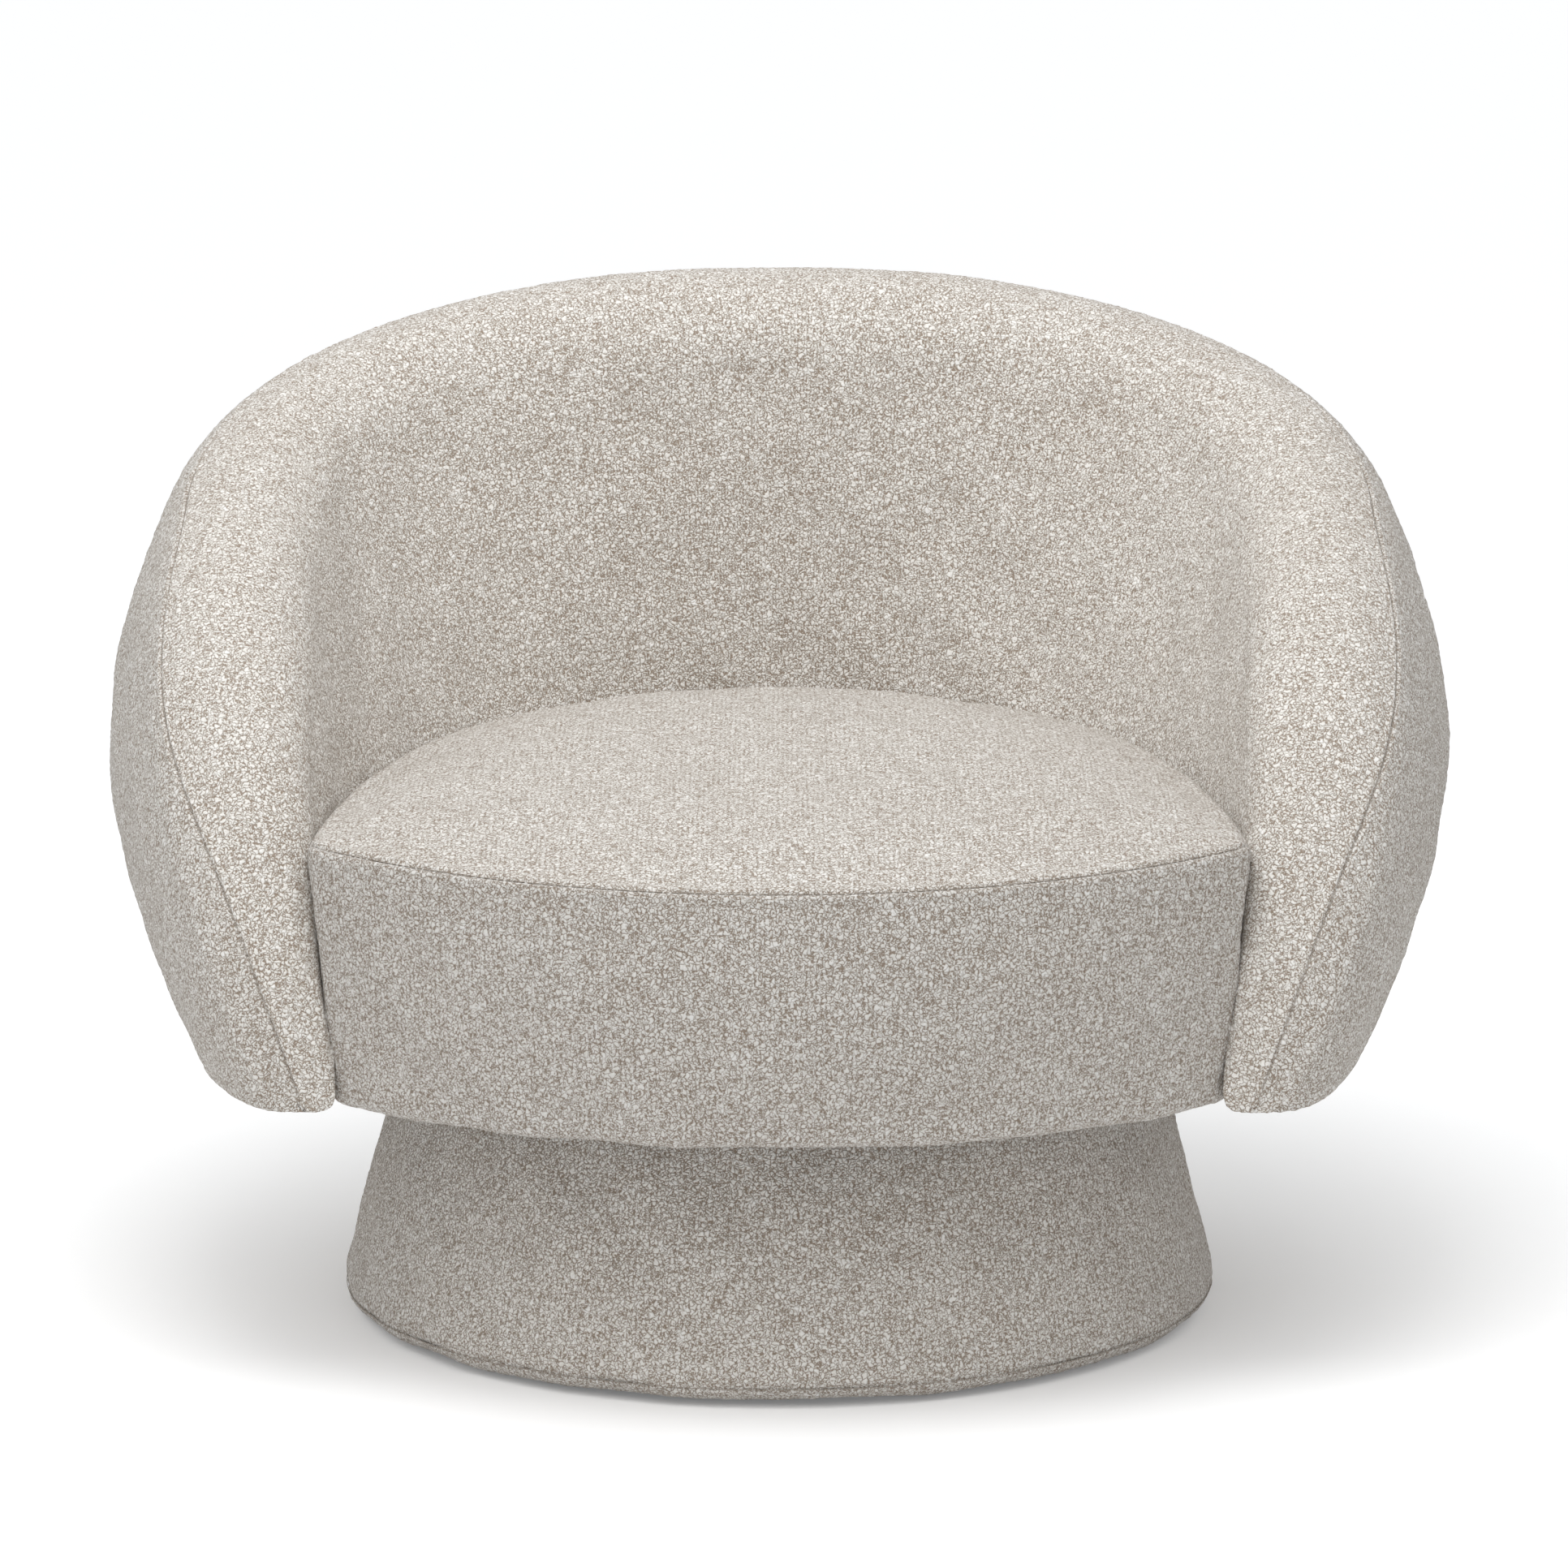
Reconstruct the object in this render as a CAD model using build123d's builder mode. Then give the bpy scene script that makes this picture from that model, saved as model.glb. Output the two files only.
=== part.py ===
from build123d import *
import math
import os
from dataclasses import dataclass

os.makedirs("parts", exist_ok=True)

# Driving dimensions of an upholstered swivel tub chair, in millimetres.
# The chair faces -Y. It turns about Z through the origin, which lies on the floor.

# Plan and heights of the tub
REACH = 378.0               # swivel axis to the front of the seat, and to the rear of the back
SIDE_REACH = 456.0          # swivel axis to the swell of the side
ROUND_Y = 20.0              # centre that the round back is drawn about
ARM_TIP_Y = -262.0          # front of the arms
PLAN_POWER = 2.4            # plan of the round back: 2 is an ellipse, more is squarer
UNDERSIDE = 190.0           # lowest edge of the tub and the seat
BACK_HEIGHT = 677.0
SIDE_HEIGHT = 555.0         # crest where the round back runs into the arms
CREST_FALL = 1.37           # power of the fall from the back to the sides
ARM_TOP_Y = 300.0           # the arm's crest is part of an ellipse that peaks here
ARM_FOOT_HEIGHT = 200.0     # height that the same ellipse comes down to
ARM_END = 1.0               # how far that ellipse runs past the arm's tip
ARM_POWER = 2.7             # plan of the arm's nose

# Upright cut through the tub at the back, at the side and at the arm's tip
BACK_CREST_R = 66.0
SIDE_CREST_R = 58.0
TIP_CREST_R = 19.0
BACK_SWELL = 20.0           # how far the outer face swells past the crest
SIDE_SWELL = 31.0
BACK_FOOT_DRAW = 68.0       # how far the outer face draws in to its foot
SIDE_FOOT_DRAW = 71.0
BACK_FOOT_WIDTH = 115.0     # outer foot to inner foot
SIDE_FOOT_WIDTH = 93.0
TIP_DRAW = 61.0             # how far the crest draws in along the arm
SEAM_ANGLE = 60.0           # place of the cover's seam round the crest, from straight outwards
SEAM_GAP = 1.0              # angle between the two layers at the seam
SEAM_TIP_TURN = 22.0        # how far the seam climbs over the nose of the arm
SEAM_TIP_POWER = 5          # how late it does so
FOOT_ROUND = 0.36           # rounding of the lower outer edge, per crest radius
FOAM_DEPTH = 0.5            # foam on the frame, per crest radius
BACK_STEPS = 12             # cuts round the back
ARM_STEPS = 8               # cuts along an arm
FRAMED_STEPS = 4            # cuts of an arm that the frame reaches

# Sheet and board thicknesses
COVER = 2.5                 # woven loop cover with its backing
FIT = 0.3                   # clearance between layers
PANEL = 3.0                 # bent panels on the ribs
PANEL_FIT = 1.5             # foam to panel
BOARD = 18.0                # plywood boards
RIB = 15.0                  # plywood ribs of the back
RAIL_ANGLE = 48.0           # where the top rail's sides meet its round top
DUST_COVER = 1.0

# Seat between the arms
SEAT_GAP = 2.0              # seat cover to the tub's inner cover
SEAT_EDGE = 374.0           # height of the seat's edge above the swivel axis
SEAT_SLOPE = 0.043          # rise of that edge towards the back
SEAT_CROWN = 24.0
SEAT_FOOT_R = 14.0          # rounding of the lower front edge
SEAT_EDGE_R = 12.0          # rounding of the upper front edge
SEAT_BULGE = 7.0            # how far the front face swells between its edges
SEAT_FRONT_FLARE = 0.08     # how the front widens upwards
SEAT_CORNER_Y = 12.0        # the front starts this far behind the arm tips
SEAT_CENTRE_Y = -60.0       # middle of the crown
SEAT_REAR_ARCS = 8          # arcs that follow the tub round the back of the seat
CROWN_STEPS = (0.8, 0.55, 0.3, 0.12)   # plan of the crown's cuts, per seat plan
FRONT_PAD = 26.0            # foam in front of the front rail
RAIL = 25.0                 # thickness of the seat rails
RAIL_TOP = 290.0
FRONT_RAIL_Y = -190.0       # where the front rail ends
REAR_RAIL_Y = 90.0          # where the rear rail ends
STRAP = 50.0                # width of the webbing
STRAP_THICK = 1.5
STRAP_BACK = 6.0            # the straps end this far back from the rails' outer side
STRAP_PITCH = 90.0
STRAP_COUNT = 5

# Round base
BASE_FOOT_R = 304.0         # where the flared side would meet the floor
BASE_FLARE = 0.268          # how the side draws in, per height
BASE_TOP = 172.0
BASE_FOOT_ROUND = 16.0
BASE_TOP_ROUND = 6.0
BASE_COVER = 2.0
BASE_PAD = 8.0
BASE_SHELL = 4.0
BASE_TURN_IN = 22.0         # cover turned in over the top and under the foot
HEM = 9.0                   # height of the sewn hem at the foot
HEM_THICK = 1.2
GLIDE_R = 14.0
GLIDE_HEIGHT = 4.0
GLIDE_CIRCLE_R = 258.0
GLIDE_COUNT = 6
RING_WIDTH = 62.0
BASE_RIB_COUNT = 8
BASE_RIB = 18.0
BASE_RIB_WIDTH = 70.0

# Swivel between base and seat
PLATE_R = 110.0
PLATE = 3.0
RACE_R = 64.0
RACE_WIDTH = 24.0
BALL_R = 4.0
BALL_COUNT = 18
RACE_GAP = 5.0              # between the two races
CAGE = 2.0
PIVOT_R = 8.0
PIVOT_FLANGE_R = 15.0
PIVOT_FLANGE = 3.0
PIVOT_RUN = 0.05            # running clearance of the pivot
PIVOT_NUT_R = 13.0
PIVOT_NUT = 7.0
BOLT_R = 3.0
BOLT_HEAD_R = 6.5
BOLT_HEAD = 3.5
BOLT_NUT = 5.0
BOLT_CIRCLE_R = 92.0
BOLT_COUNT = 4
UPPER_BOLT_ANGLE = 45.0     # the seat's bolts stand between the base's

# Places that follow from them
BACK_CREST_X = REACH - ROUND_Y - BACK_SWELL - BACK_CREST_R
SIDE_CREST_X = SIDE_REACH - SIDE_SWELL - SIDE_CREST_R
TIP_CREST_X = SIDE_CREST_X - TIP_DRAW
BACK_FOOT_OUT = REACH - ROUND_Y - BACK_FOOT_DRAW
SIDE_FOOT_OUT = SIDE_REACH - SIDE_FOOT_DRAW
TIP_FOOT_OUT = TIP_CREST_X + TIP_CREST_R
BACK_FOOT_IN = BACK_FOOT_OUT - BACK_FOOT_WIDTH
SIDE_FOOT_IN = SIDE_FOOT_OUT - SIDE_FOOT_WIDTH
TIP_FOOT_IN = TIP_CREST_X - TIP_CREST_R
SEAT_FRONT_X = TIP_FOOT_IN - SEAT_GAP   # half width of the seat's front at the underside
BOARD_BOTTOM = UNDERSIDE + DUST_COVER
BOARD_TOP = BOARD_BOTTOM + BOARD
WEB_TOP = RAIL_TOP + 2 * STRAP_THICK
PLATE_TOP = BOARD_BOTTOM
BASE_INSIDE_TOP = BASE_TOP - BASE_COVER
BASE_FLOOR = GLIDE_HEIGHT + DUST_COVER
FOAM_OUT = COVER + FIT


def save(part, name):
    """Label a finished piece and write it."""
    part.label = name
    export_step(part, f"parts/{name}.step")


def sweep_radius(reach, crest_x, crest_r, height, foot_out):
    """Radius of the outer face that swells to `reach` between its foot and the crest circle."""
    crest_z = height - crest_r
    over_crest = reach - crest_x
    over_foot = reach - foot_out
    share = (over_crest - crest_r) / over_foot
    a = 1 - share
    b = 2 * (share * UNDERSIDE - crest_z)
    c = crest_z**2 - share * UNDERSIDE**2 - crest_r**2 + over_crest**2 - share * over_foot**2
    middle = (-b - math.sqrt(b * b - 4 * a * c)) / (2 * a)
    return (over_foot**2 + (middle - UNDERSIDE) ** 2) / (2 * over_foot)


def polar(centre, radius, degrees):
    """Point at an angle on a circle."""
    turn = math.radians(degrees)
    return (centre[0] + radius * math.cos(turn), centre[1] + radius * math.sin(turn))


@dataclass
class Station:
    """Upright cut through the tub: in its plane x runs outwards and y runs up."""

    plane: Plane
    foot_in: float
    foot_out: float
    crest_x: float
    crest_r: float
    height: float
    sweep_r: float
    seam: float = SEAM_ANGLE

    def __post_init__(self):
        self.crest = (self.crest_x, self.height - self.crest_r)
        self.foam = FOAM_DEPTH * self.crest_r
        self.frame = self.foam + PANEL_FIT + PANEL + FIT
        # The inner face is the tangent from its foot to the crest circle
        run = self.crest_x - self.foot_in
        rise = self.crest[1] - UNDERSIDE
        self.lean = math.atan2(rise, run) + math.asin(self.crest_r / math.hypot(run, rise))
        self.inner_angle = math.degrees(self.lean) + 90
        # The outer face passes through its foot and runs into the crest circle
        run = self.crest_x - self.foot_out
        apart = math.hypot(run, rise)
        reach = self.sweep_r - self.crest_r
        along = (self.sweep_r**2 - reach**2 + apart**2) / (2 * apart)
        across = math.sqrt(self.sweep_r**2 - along**2)
        self.sweep = (
            self.foot_out + (along * run - across * rise) / apart,
            UNDERSIDE + (along * rise + across * run) / apart,
        )
        over = (self.crest[0] - self.sweep[0], self.crest[1] - self.sweep[1])
        self.outer_angle = math.degrees(math.atan2(over[1], over[0]))
        # The lower outer edge is rounded
        self.round_r = FOOT_ROUND * self.crest_r
        round_z = UNDERSIDE + self.round_r
        run = math.sqrt((self.sweep_r - self.round_r) ** 2 - (round_z - self.sweep[1]) ** 2)
        self.round = (self.sweep[0] + run, round_z)
        self.round_angle = math.degrees(math.atan2(round_z - self.sweep[1], run))
        self.outer_turn = self.round_angle - self.outer_angle
        # Inner layers stand on the seat board, and reach lower on the nose of the arm
        self.inner_low = min(BOARD_TOP + FIT, self.crest[1] - self.round_r)

    def on_crest(self, inset, angle):
        return polar(self.crest, self.crest_r - inset, angle)

    def on_outer(self, inset, angle):
        return polar(self.sweep, self.sweep_r - inset, angle)

    def on_inner(self, inset, height):
        top = self.on_crest(inset, self.inner_angle)
        return (top[0] - (top[1] - height) / math.tan(self.lean), height)

    def outer_angle_at(self, inset, height):
        return math.degrees(math.asin((height - self.sweep[1]) / (self.sweep_r - inset)))

    def outer_at(self, inset, height):
        return self.on_outer(inset, self.outer_angle_at(inset, height))

    def place(self, point):
        """Point of this cut in the chair's frame."""
        return self.plane.from_local_coords((point[0], point[1], 0))


def upright(y, degrees):
    """Upright plane through (0, y) that looks outwards at an angle from +X."""
    turn = math.radians(degrees)
    outwards = (math.cos(turn), math.sin(turn), 0)
    return Plane(origin=(0, y, 0), x_dir=outwards, z_dir=(outwards[1], -outwards[0], 0))


BACK_SWEEP_R = sweep_radius(
    REACH - ROUND_Y, BACK_CREST_X, BACK_CREST_R, BACK_HEIGHT, BACK_FOOT_OUT
)
SIDE_SWEEP_R = sweep_radius(SIDE_REACH, SIDE_CREST_X, SIDE_CREST_R, SIDE_HEIGHT, SIDE_FOOT_OUT)


def back_station(degrees):
    """Cut through the round back, at an angle from +X."""
    turn = math.radians(degrees)
    to_back = math.sin(turn)
    to_side = abs(math.cos(turn))

    def round_plan(side, back):
        return ((to_side / side) ** PLAN_POWER + (to_back / back) ** PLAN_POWER) ** (-1 / PLAN_POWER)

    def mixed(side, back):
        return side + (back - side) * to_back

    return Station(
        upright(ROUND_Y, degrees),
        round_plan(SIDE_FOOT_IN, BACK_FOOT_IN),
        round_plan(SIDE_FOOT_OUT, BACK_FOOT_OUT),
        round_plan(SIDE_CREST_X, BACK_CREST_X),
        mixed(SIDE_CREST_R, BACK_CREST_R),
        BACK_HEIGHT - (BACK_HEIGHT - SIDE_HEIGHT) * (1 - to_back) ** CREST_FALL,
        mixed(SIDE_SWEEP_R, BACK_SWEEP_R),
    )


def arm_station(share, degrees):
    """Cut through an arm, at a share of the way from the back to its tip."""
    y = ROUND_Y + (ARM_TIP_Y - ROUND_Y) * share
    length = ARM_TOP_Y - ARM_TIP_Y + ARM_END

    def rise(y):
        return math.sqrt(1 - ((ARM_TOP_Y - y) / length) ** 2)

    fullness = math.sqrt(1 - share**ARM_POWER)

    def mixed(tip, side):
        return tip + (side - tip) * fullness

    return Station(
        upright(y, degrees),
        mixed(TIP_FOOT_IN, SIDE_FOOT_IN),
        mixed(TIP_FOOT_OUT, SIDE_FOOT_OUT),
        mixed(TIP_CREST_X, SIDE_CREST_X),
        mixed(TIP_CREST_R, SIDE_CREST_R),
        ARM_FOOT_HEIGHT + (SIDE_HEIGHT - ARM_FOOT_HEIGHT) * rise(y) / rise(ROUND_Y),
        SIDE_SWEEP_R,
        SEAM_ANGLE + SEAM_TIP_TURN * share**SEAM_TIP_POWER,
    )


arm_shares = [math.sin(math.pi / 2 * step / ARM_STEPS) for step in range(1, ARM_STEPS + 1)]
stations = [arm_station(share, 180) for share in reversed(arm_shares)]
stations += [back_station(180 - 180 * step / BACK_STEPS) for step in range(BACK_STEPS + 1)]
stations += [arm_station(share, 0) for share in arm_shares]
unframed = ARM_STEPS - FRAMED_STEPS
framed = stations[unframed:-unframed]
ribbed = framed[1:-1:3]


def inner_layer(cut, near, far):
    """Layer that climbs the inner face and runs over the crest to the seam."""
    with BuildSketch(cut.plane) as layer:
        with BuildLine():
            low = cut.inner_low
            over = cut.seam - cut.inner_angle
            Line(cut.on_inner(near, low), cut.on_crest(near, cut.inner_angle))
            CenterArc(cut.crest, cut.crest_r - near, cut.inner_angle, over)
            Line(cut.on_crest(near, cut.seam), cut.on_crest(far, cut.seam))
            CenterArc(cut.crest, cut.crest_r - far, cut.seam, -over)
            Line(cut.on_crest(far, cut.inner_angle), cut.on_inner(far, low))
            Line(cut.on_inner(far, low), cut.on_inner(near, low))
        make_face()
    return layer.sketch


def outer_skin(cut, near, far):
    """Thin layer from the seam down the outer face and round its lower edge."""
    with BuildSketch(cut.plane) as layer:
        with BuildLine():
            seam = cut.seam - SEAM_GAP
            for inset in (near, far):
                CenterArc(cut.crest, cut.crest_r - inset, seam, cut.outer_angle - seam)
                CenterArc(cut.sweep, cut.sweep_r - inset, cut.outer_angle, cut.outer_turn)
                CenterArc(cut.round, cut.round_r - inset, cut.round_angle, -90 - cut.round_angle)
            Line(cut.on_crest(near, seam), cut.on_crest(far, seam))
            Line(polar(cut.round, cut.round_r - near, -90), polar(cut.round, cut.round_r - far, -90))
        make_face()
    return layer.sketch


def outer_pad(cut, near, far):
    """Thick layer under the outer skin, square to the underside on its hidden side."""
    with BuildSketch(cut.plane) as layer:
        with BuildLine():
            seam = cut.seam - SEAM_GAP
            foot = polar(cut.round, cut.round_r - near, -90)
            low = cut.outer_angle_at(far, foot[1])
            CenterArc(cut.crest, cut.crest_r - near, seam, cut.outer_angle - seam)
            CenterArc(cut.sweep, cut.sweep_r - near, cut.outer_angle, cut.outer_turn)
            CenterArc(cut.round, cut.round_r - near, cut.round_angle, -90 - cut.round_angle)
            Line(foot, cut.on_outer(far, low))
            CenterArc(cut.sweep, cut.sweep_r - far, low, cut.outer_angle - low)
            CenterArc(cut.crest, cut.crest_r - far, cut.outer_angle, seam - cut.outer_angle)
            Line(cut.on_crest(far, seam), cut.on_crest(near, seam))
        make_face()
    return layer.sketch


def inner_panel_cut(cut):
    """Panel on the ribs behind the inner foam."""
    near = cut.foam + PANEL_FIT
    far = near + PANEL
    top = cut.crest[1]
    with BuildSketch(cut.plane) as layer:
        with BuildLine():
            Polyline(
                cut.on_inner(near, BOARD_TOP),
                cut.on_inner(near, top),
                cut.on_inner(far, top),
                cut.on_inner(far, BOARD_TOP),
                close=True,
            )
        make_face()
    return layer.sketch


def outer_panel_cut(cut):
    """Panel on the ribs behind the outer foam."""
    near = cut.foam + PANEL_FIT
    far = near + PANEL
    with BuildSketch(cut.plane) as layer:
        with BuildLine():
            top = cut.crest[1]
            for inset in (near, far):
                low = cut.outer_angle_at(inset, BOARD_TOP)
                CenterArc(cut.sweep, cut.sweep_r - inset, low, cut.outer_angle_at(inset, top) - low)
            Line(cut.outer_at(near, top), cut.outer_at(far, top))
            Line(cut.outer_at(near, BOARD_TOP), cut.outer_at(far, BOARD_TOP))
        make_face()
    return layer.sketch


def rib_cut(cut):
    """Space for a rib, from the seat board to the top rail."""
    with BuildSketch(cut.plane) as layer:
        with BuildLine():
            top = cut.crest[1] - FIT
            low = cut.outer_angle_at(cut.frame, BOARD_TOP)
            high = cut.outer_angle_at(cut.frame, top)
            Line(cut.on_inner(cut.frame, BOARD_TOP), cut.on_inner(cut.frame, top))
            Line(cut.on_inner(cut.frame, top), cut.outer_at(cut.frame, top))
            CenterArc(cut.sweep, cut.sweep_r - cut.frame, high, low - high)
            Line(cut.outer_at(cut.frame, BOARD_TOP), cut.on_inner(cut.frame, BOARD_TOP))
        make_face()
    return layer.sketch


def top_rail_cut(cut):
    """Rail with a round top under the crest foam."""
    with BuildSketch(cut.plane) as layer:
        with BuildLine():
            right = cut.on_crest(cut.frame, RAIL_ANGLE)
            left = cut.on_crest(cut.frame, 180 - RAIL_ANGLE)
            CenterArc(cut.crest, cut.crest_r - cut.frame, RAIL_ANGLE, 180 - 2 * RAIL_ANGLE)
            Polyline(left, (left[0], cut.crest[1]), (right[0], cut.crest[1]), right)
        make_face()
    return layer.sketch


def whole_cut(cut):
    """Whole outline of the tub at a cut."""
    with BuildSketch(cut.plane) as layer:
        with BuildLine():
            foot = cut.on_inner(0, UNDERSIDE)
            Line(foot, cut.on_crest(0, cut.inner_angle))
            CenterArc(cut.crest, cut.crest_r, cut.inner_angle, cut.outer_angle - cut.inner_angle)
            CenterArc(cut.sweep, cut.sweep_r, cut.outer_angle, cut.outer_turn)
            CenterArc(cut.round, cut.round_r, cut.round_angle, -90 - cut.round_angle)
            Line(polar(cut.round, cut.round_r, -90), foot)
        make_face()
    return layer.sketch


# Covers of the tub: the inner one closes the noses of the arms
with BuildPart() as back_inner_cover:
    loft([inner_layer(cut, 0, COVER) for cut in stations])
    for tip in (stations[0], stations[-1]):
        extrude(whole_cut(tip), amount=COVER, dir=(0, -1, 0))
save(back_inner_cover.part, "back_inner_cover")

with BuildPart() as back_outer_cover:
    loft([outer_skin(cut, 0, COVER) for cut in stations])
save(back_outer_cover.part, "back_outer_cover")

# Foam of the tub
with BuildPart() as back_inner_foam:
    loft([inner_layer(cut, FOAM_OUT, cut.foam) for cut in stations])
save(back_inner_foam.part, "back_inner_foam")

with BuildPart() as back_outer_foam:
    loft([outer_pad(cut, FOAM_OUT, cut.foam) for cut in stations])
save(back_outer_foam.part, "back_outer_foam")

# Frame of the tub: ribs on the seat board, bent panels on both sides and a top rail
with BuildPart() as back_inner_panel:
    loft([inner_panel_cut(cut) for cut in framed])
save(back_inner_panel.part, "back_inner_panel")

with BuildPart() as back_outer_panel:
    loft([outer_panel_cut(cut) for cut in framed])
save(back_outer_panel.part, "back_outer_panel")

with BuildPart() as back_top_rail:
    loft([top_rail_cut(cut) for cut in framed])
save(back_top_rail.part, "back_top_rail")

with BuildPart() as rib_blanks:
    for cut in ribbed:
        with BuildSketch(cut.plane):
            with Locations(((cut.foot_in + cut.sweep_r) / 2, BACK_HEIGHT / 2)):
                Rectangle(cut.sweep_r + cut.foot_in, BACK_HEIGHT)
        extrude(amount=RIB / 2, both=True)

with BuildPart() as back_ribs:
    loft([rib_cut(cut) for cut in framed])
    add(rib_blanks.part, mode=Mode.INTERSECT)
save(back_ribs.part, "back_ribs")


# Seat between the arms
def seat_cut(inset, level, slope, front, share=1.0):
    """Plan of the seat, `inset` under its cover, on the plane that rises along Y from `level`."""
    tilt = math.atan(slope)
    plane = Plane(origin=(0, 0, level), x_dir=(1, 0, 0), z_dir=(0, -math.sin(tilt), math.cos(tilt)))

    def rear_point(degrees):
        cut = back_station(degrees)
        turn = math.radians(degrees)
        widen = 1 / math.tan(cut.lean)
        foot = cut.on_inner(-SEAT_GAP - inset, 0)[0]
        reach = (foot + widen * (level + slope * ROUND_Y)) / (1 - widen * slope * math.sin(turn))
        return (reach * math.cos(turn), ROUND_Y + reach * math.sin(turn))

    def flat(point):
        x = point[0] * share
        y = SEAT_CENTRE_Y + (point[1] - SEAT_CENTRE_Y) * share
        return (x, y / math.cos(tilt))

    corner_y = ARM_TIP_Y + SEAT_CORNER_Y + inset
    corner_z = level + slope * corner_y
    corner_x = SEAT_FRONT_X + SEAT_FRONT_FLARE * (corner_z - UNDERSIDE) - inset
    half_arc = 90 / SEAT_REAR_ARCS
    rear = [flat(rear_point(half_arc * step)) for step in range(2 * SEAT_REAR_ARCS + 1)]
    right = flat((corner_x, corner_y))
    left = flat((-corner_x, corner_y))
    middle = flat((0, -front + inset))
    with BuildSketch(plane) as outline:
        with BuildLine():
            Line(right, rear[0])
            for step in range(0, 2 * SEAT_REAR_ARCS, 2):
                ThreePointArc(rear[step], rear[step + 1], rear[step + 2])
            Line(rear[-1], left)
            ThreePointArc(left, middle, right)
        make_face()
    return outline.sketch


HALF_ROUND = 1 - math.sqrt(0.5)
SEAM_LEVEL = SEAT_EDGE - SEAT_EDGE_R * HALF_ROUND


def seat_form(inset):
    """Solid of the seat under a layer: rounded foot, swelling front and crowned top."""
    foot = UNDERSIDE + SEAT_FOOT_R
    front = REACH - SEAT_BULGE
    shoulder = SEAT_EDGE - SEAT_EDGE_R
    mid = (foot + shoulder) / 2
    top = SEAT_EDGE - inset
    low = UNDERSIDE + inset
    edge = SEAT_EDGE_R
    with BuildPart() as form:
        loft(
            [
                seat_cut(inset + SEAT_FOOT_R, low, 0, front),
                seat_cut(inset + SEAT_FOOT_R * HALF_ROUND, low + SEAT_FOOT_R * HALF_ROUND, 0, front),
                seat_cut(inset, foot + inset, 0, front),
            ]
        )
        loft(
            [
                seat_cut(inset, foot + inset, 0, front),
                seat_cut(inset, mid, SEAT_SLOPE / 2, REACH),
                seat_cut(inset, shoulder - inset, SEAT_SLOPE, front),
            ]
        )
        loft(
            [
                seat_cut(inset, shoulder - inset, SEAT_SLOPE, front),
                seat_cut(inset + edge * HALF_ROUND, top - edge * HALF_ROUND, SEAT_SLOPE, front),
                seat_cut(inset + edge, top, SEAT_SLOPE, front),
            ]
        )
        crown = [seat_cut(inset + edge, top, SEAT_SLOPE, front)]
        for share in CROWN_STEPS:
            level = top + SEAT_CROWN * (1 - share**2)
            crown.append(seat_cut(inset + edge, level, SEAT_SLOPE, front, share))
        loft(crown)
    return form.part


def tilted(level):
    """Plane that follows the slope of the seat's edge."""
    tilt = math.atan(SEAT_SLOPE)
    return Plane(origin=(0, 0, level), x_dir=(1, 0, 0), z_dir=(0, -math.sin(tilt), math.cos(tilt)))


def foot_plan(inset):
    """Plan of the seat at its underside, drawn on the floor."""
    return seat_cut(inset, UNDERSIDE, 0, REACH - SEAT_BULGE).moved(Location((0, 0, -UNDERSIDE)))


def tub_plan(inset):
    """Plan of the boards under the tub and the seat."""
    rim = [cut.place(cut.outer_at(cut.foam + inset, UNDERSIDE)) for cut in framed]
    rim = [(point.X, point.Y) for point in rim]
    with BuildSketch() as plan:
        add(foot_plan(FRONT_PAD + inset))
        with BuildLine():
            Spline(*rim)
            Line(rim[-1], rim[0])
        make_face()
    return plan.sketch


with BuildPart() as seat_board:
    with BuildSketch(Plane.XY.offset(BOARD_BOTTOM)):
        add(tub_plan(FIT))
        Circle(PIVOT_NUT_R + 2 * FIT, mode=Mode.SUBTRACT)
        with PolarLocations(BOLT_CIRCLE_R, BOLT_COUNT, start_angle=UPPER_BOLT_ANGLE):
            Circle(BOLT_R, mode=Mode.SUBTRACT)
    extrude(amount=BOARD)
save(seat_board.part, "seat_board")

with BuildPart() as seat_dust_cover:
    with BuildSketch(Plane.XY.offset(UNDERSIDE)):
        add(tub_plan(RIB))
        Circle(PLATE_R + FIT, mode=Mode.SUBTRACT)
    extrude(amount=DUST_COVER)
save(seat_dust_cover.part, "seat_dust_cover")


def rail_ring():
    """Ring of the seat rails, before it is cut into its pieces."""
    with BuildPart() as ring:
        with BuildSketch(Plane.XY.offset(BOARD_TOP)):
            add(foot_plan(FRONT_PAD + FIT))
            add(foot_plan(FRONT_PAD + FIT + RAIL), mode=Mode.SUBTRACT)
        extrude(amount=RAIL_TOP - BOARD_TOP)
    return ring.part


with BuildPart() as seat_front_rail:
    add(rail_ring())
    split(bisect_by=Plane.XZ.offset(-FRONT_RAIL_Y), keep=Keep.TOP)
save(seat_front_rail.part, "seat_front_rail")

with BuildPart() as seat_side_rails:
    add(rail_ring())
    split(bisect_by=Plane.XZ.offset(-FRONT_RAIL_Y), keep=Keep.BOTTOM)
    split(bisect_by=Plane.XZ.offset(-REAR_RAIL_Y), keep=Keep.TOP)
save(seat_side_rails.part, "seat_side_rails")

with BuildPart() as seat_rear_rail:
    add(rail_ring())
    split(bisect_by=Plane.XZ.offset(-REAR_RAIL_Y), keep=Keep.BOTTOM)
save(seat_rear_rail.part, "seat_rear_rail")


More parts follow.
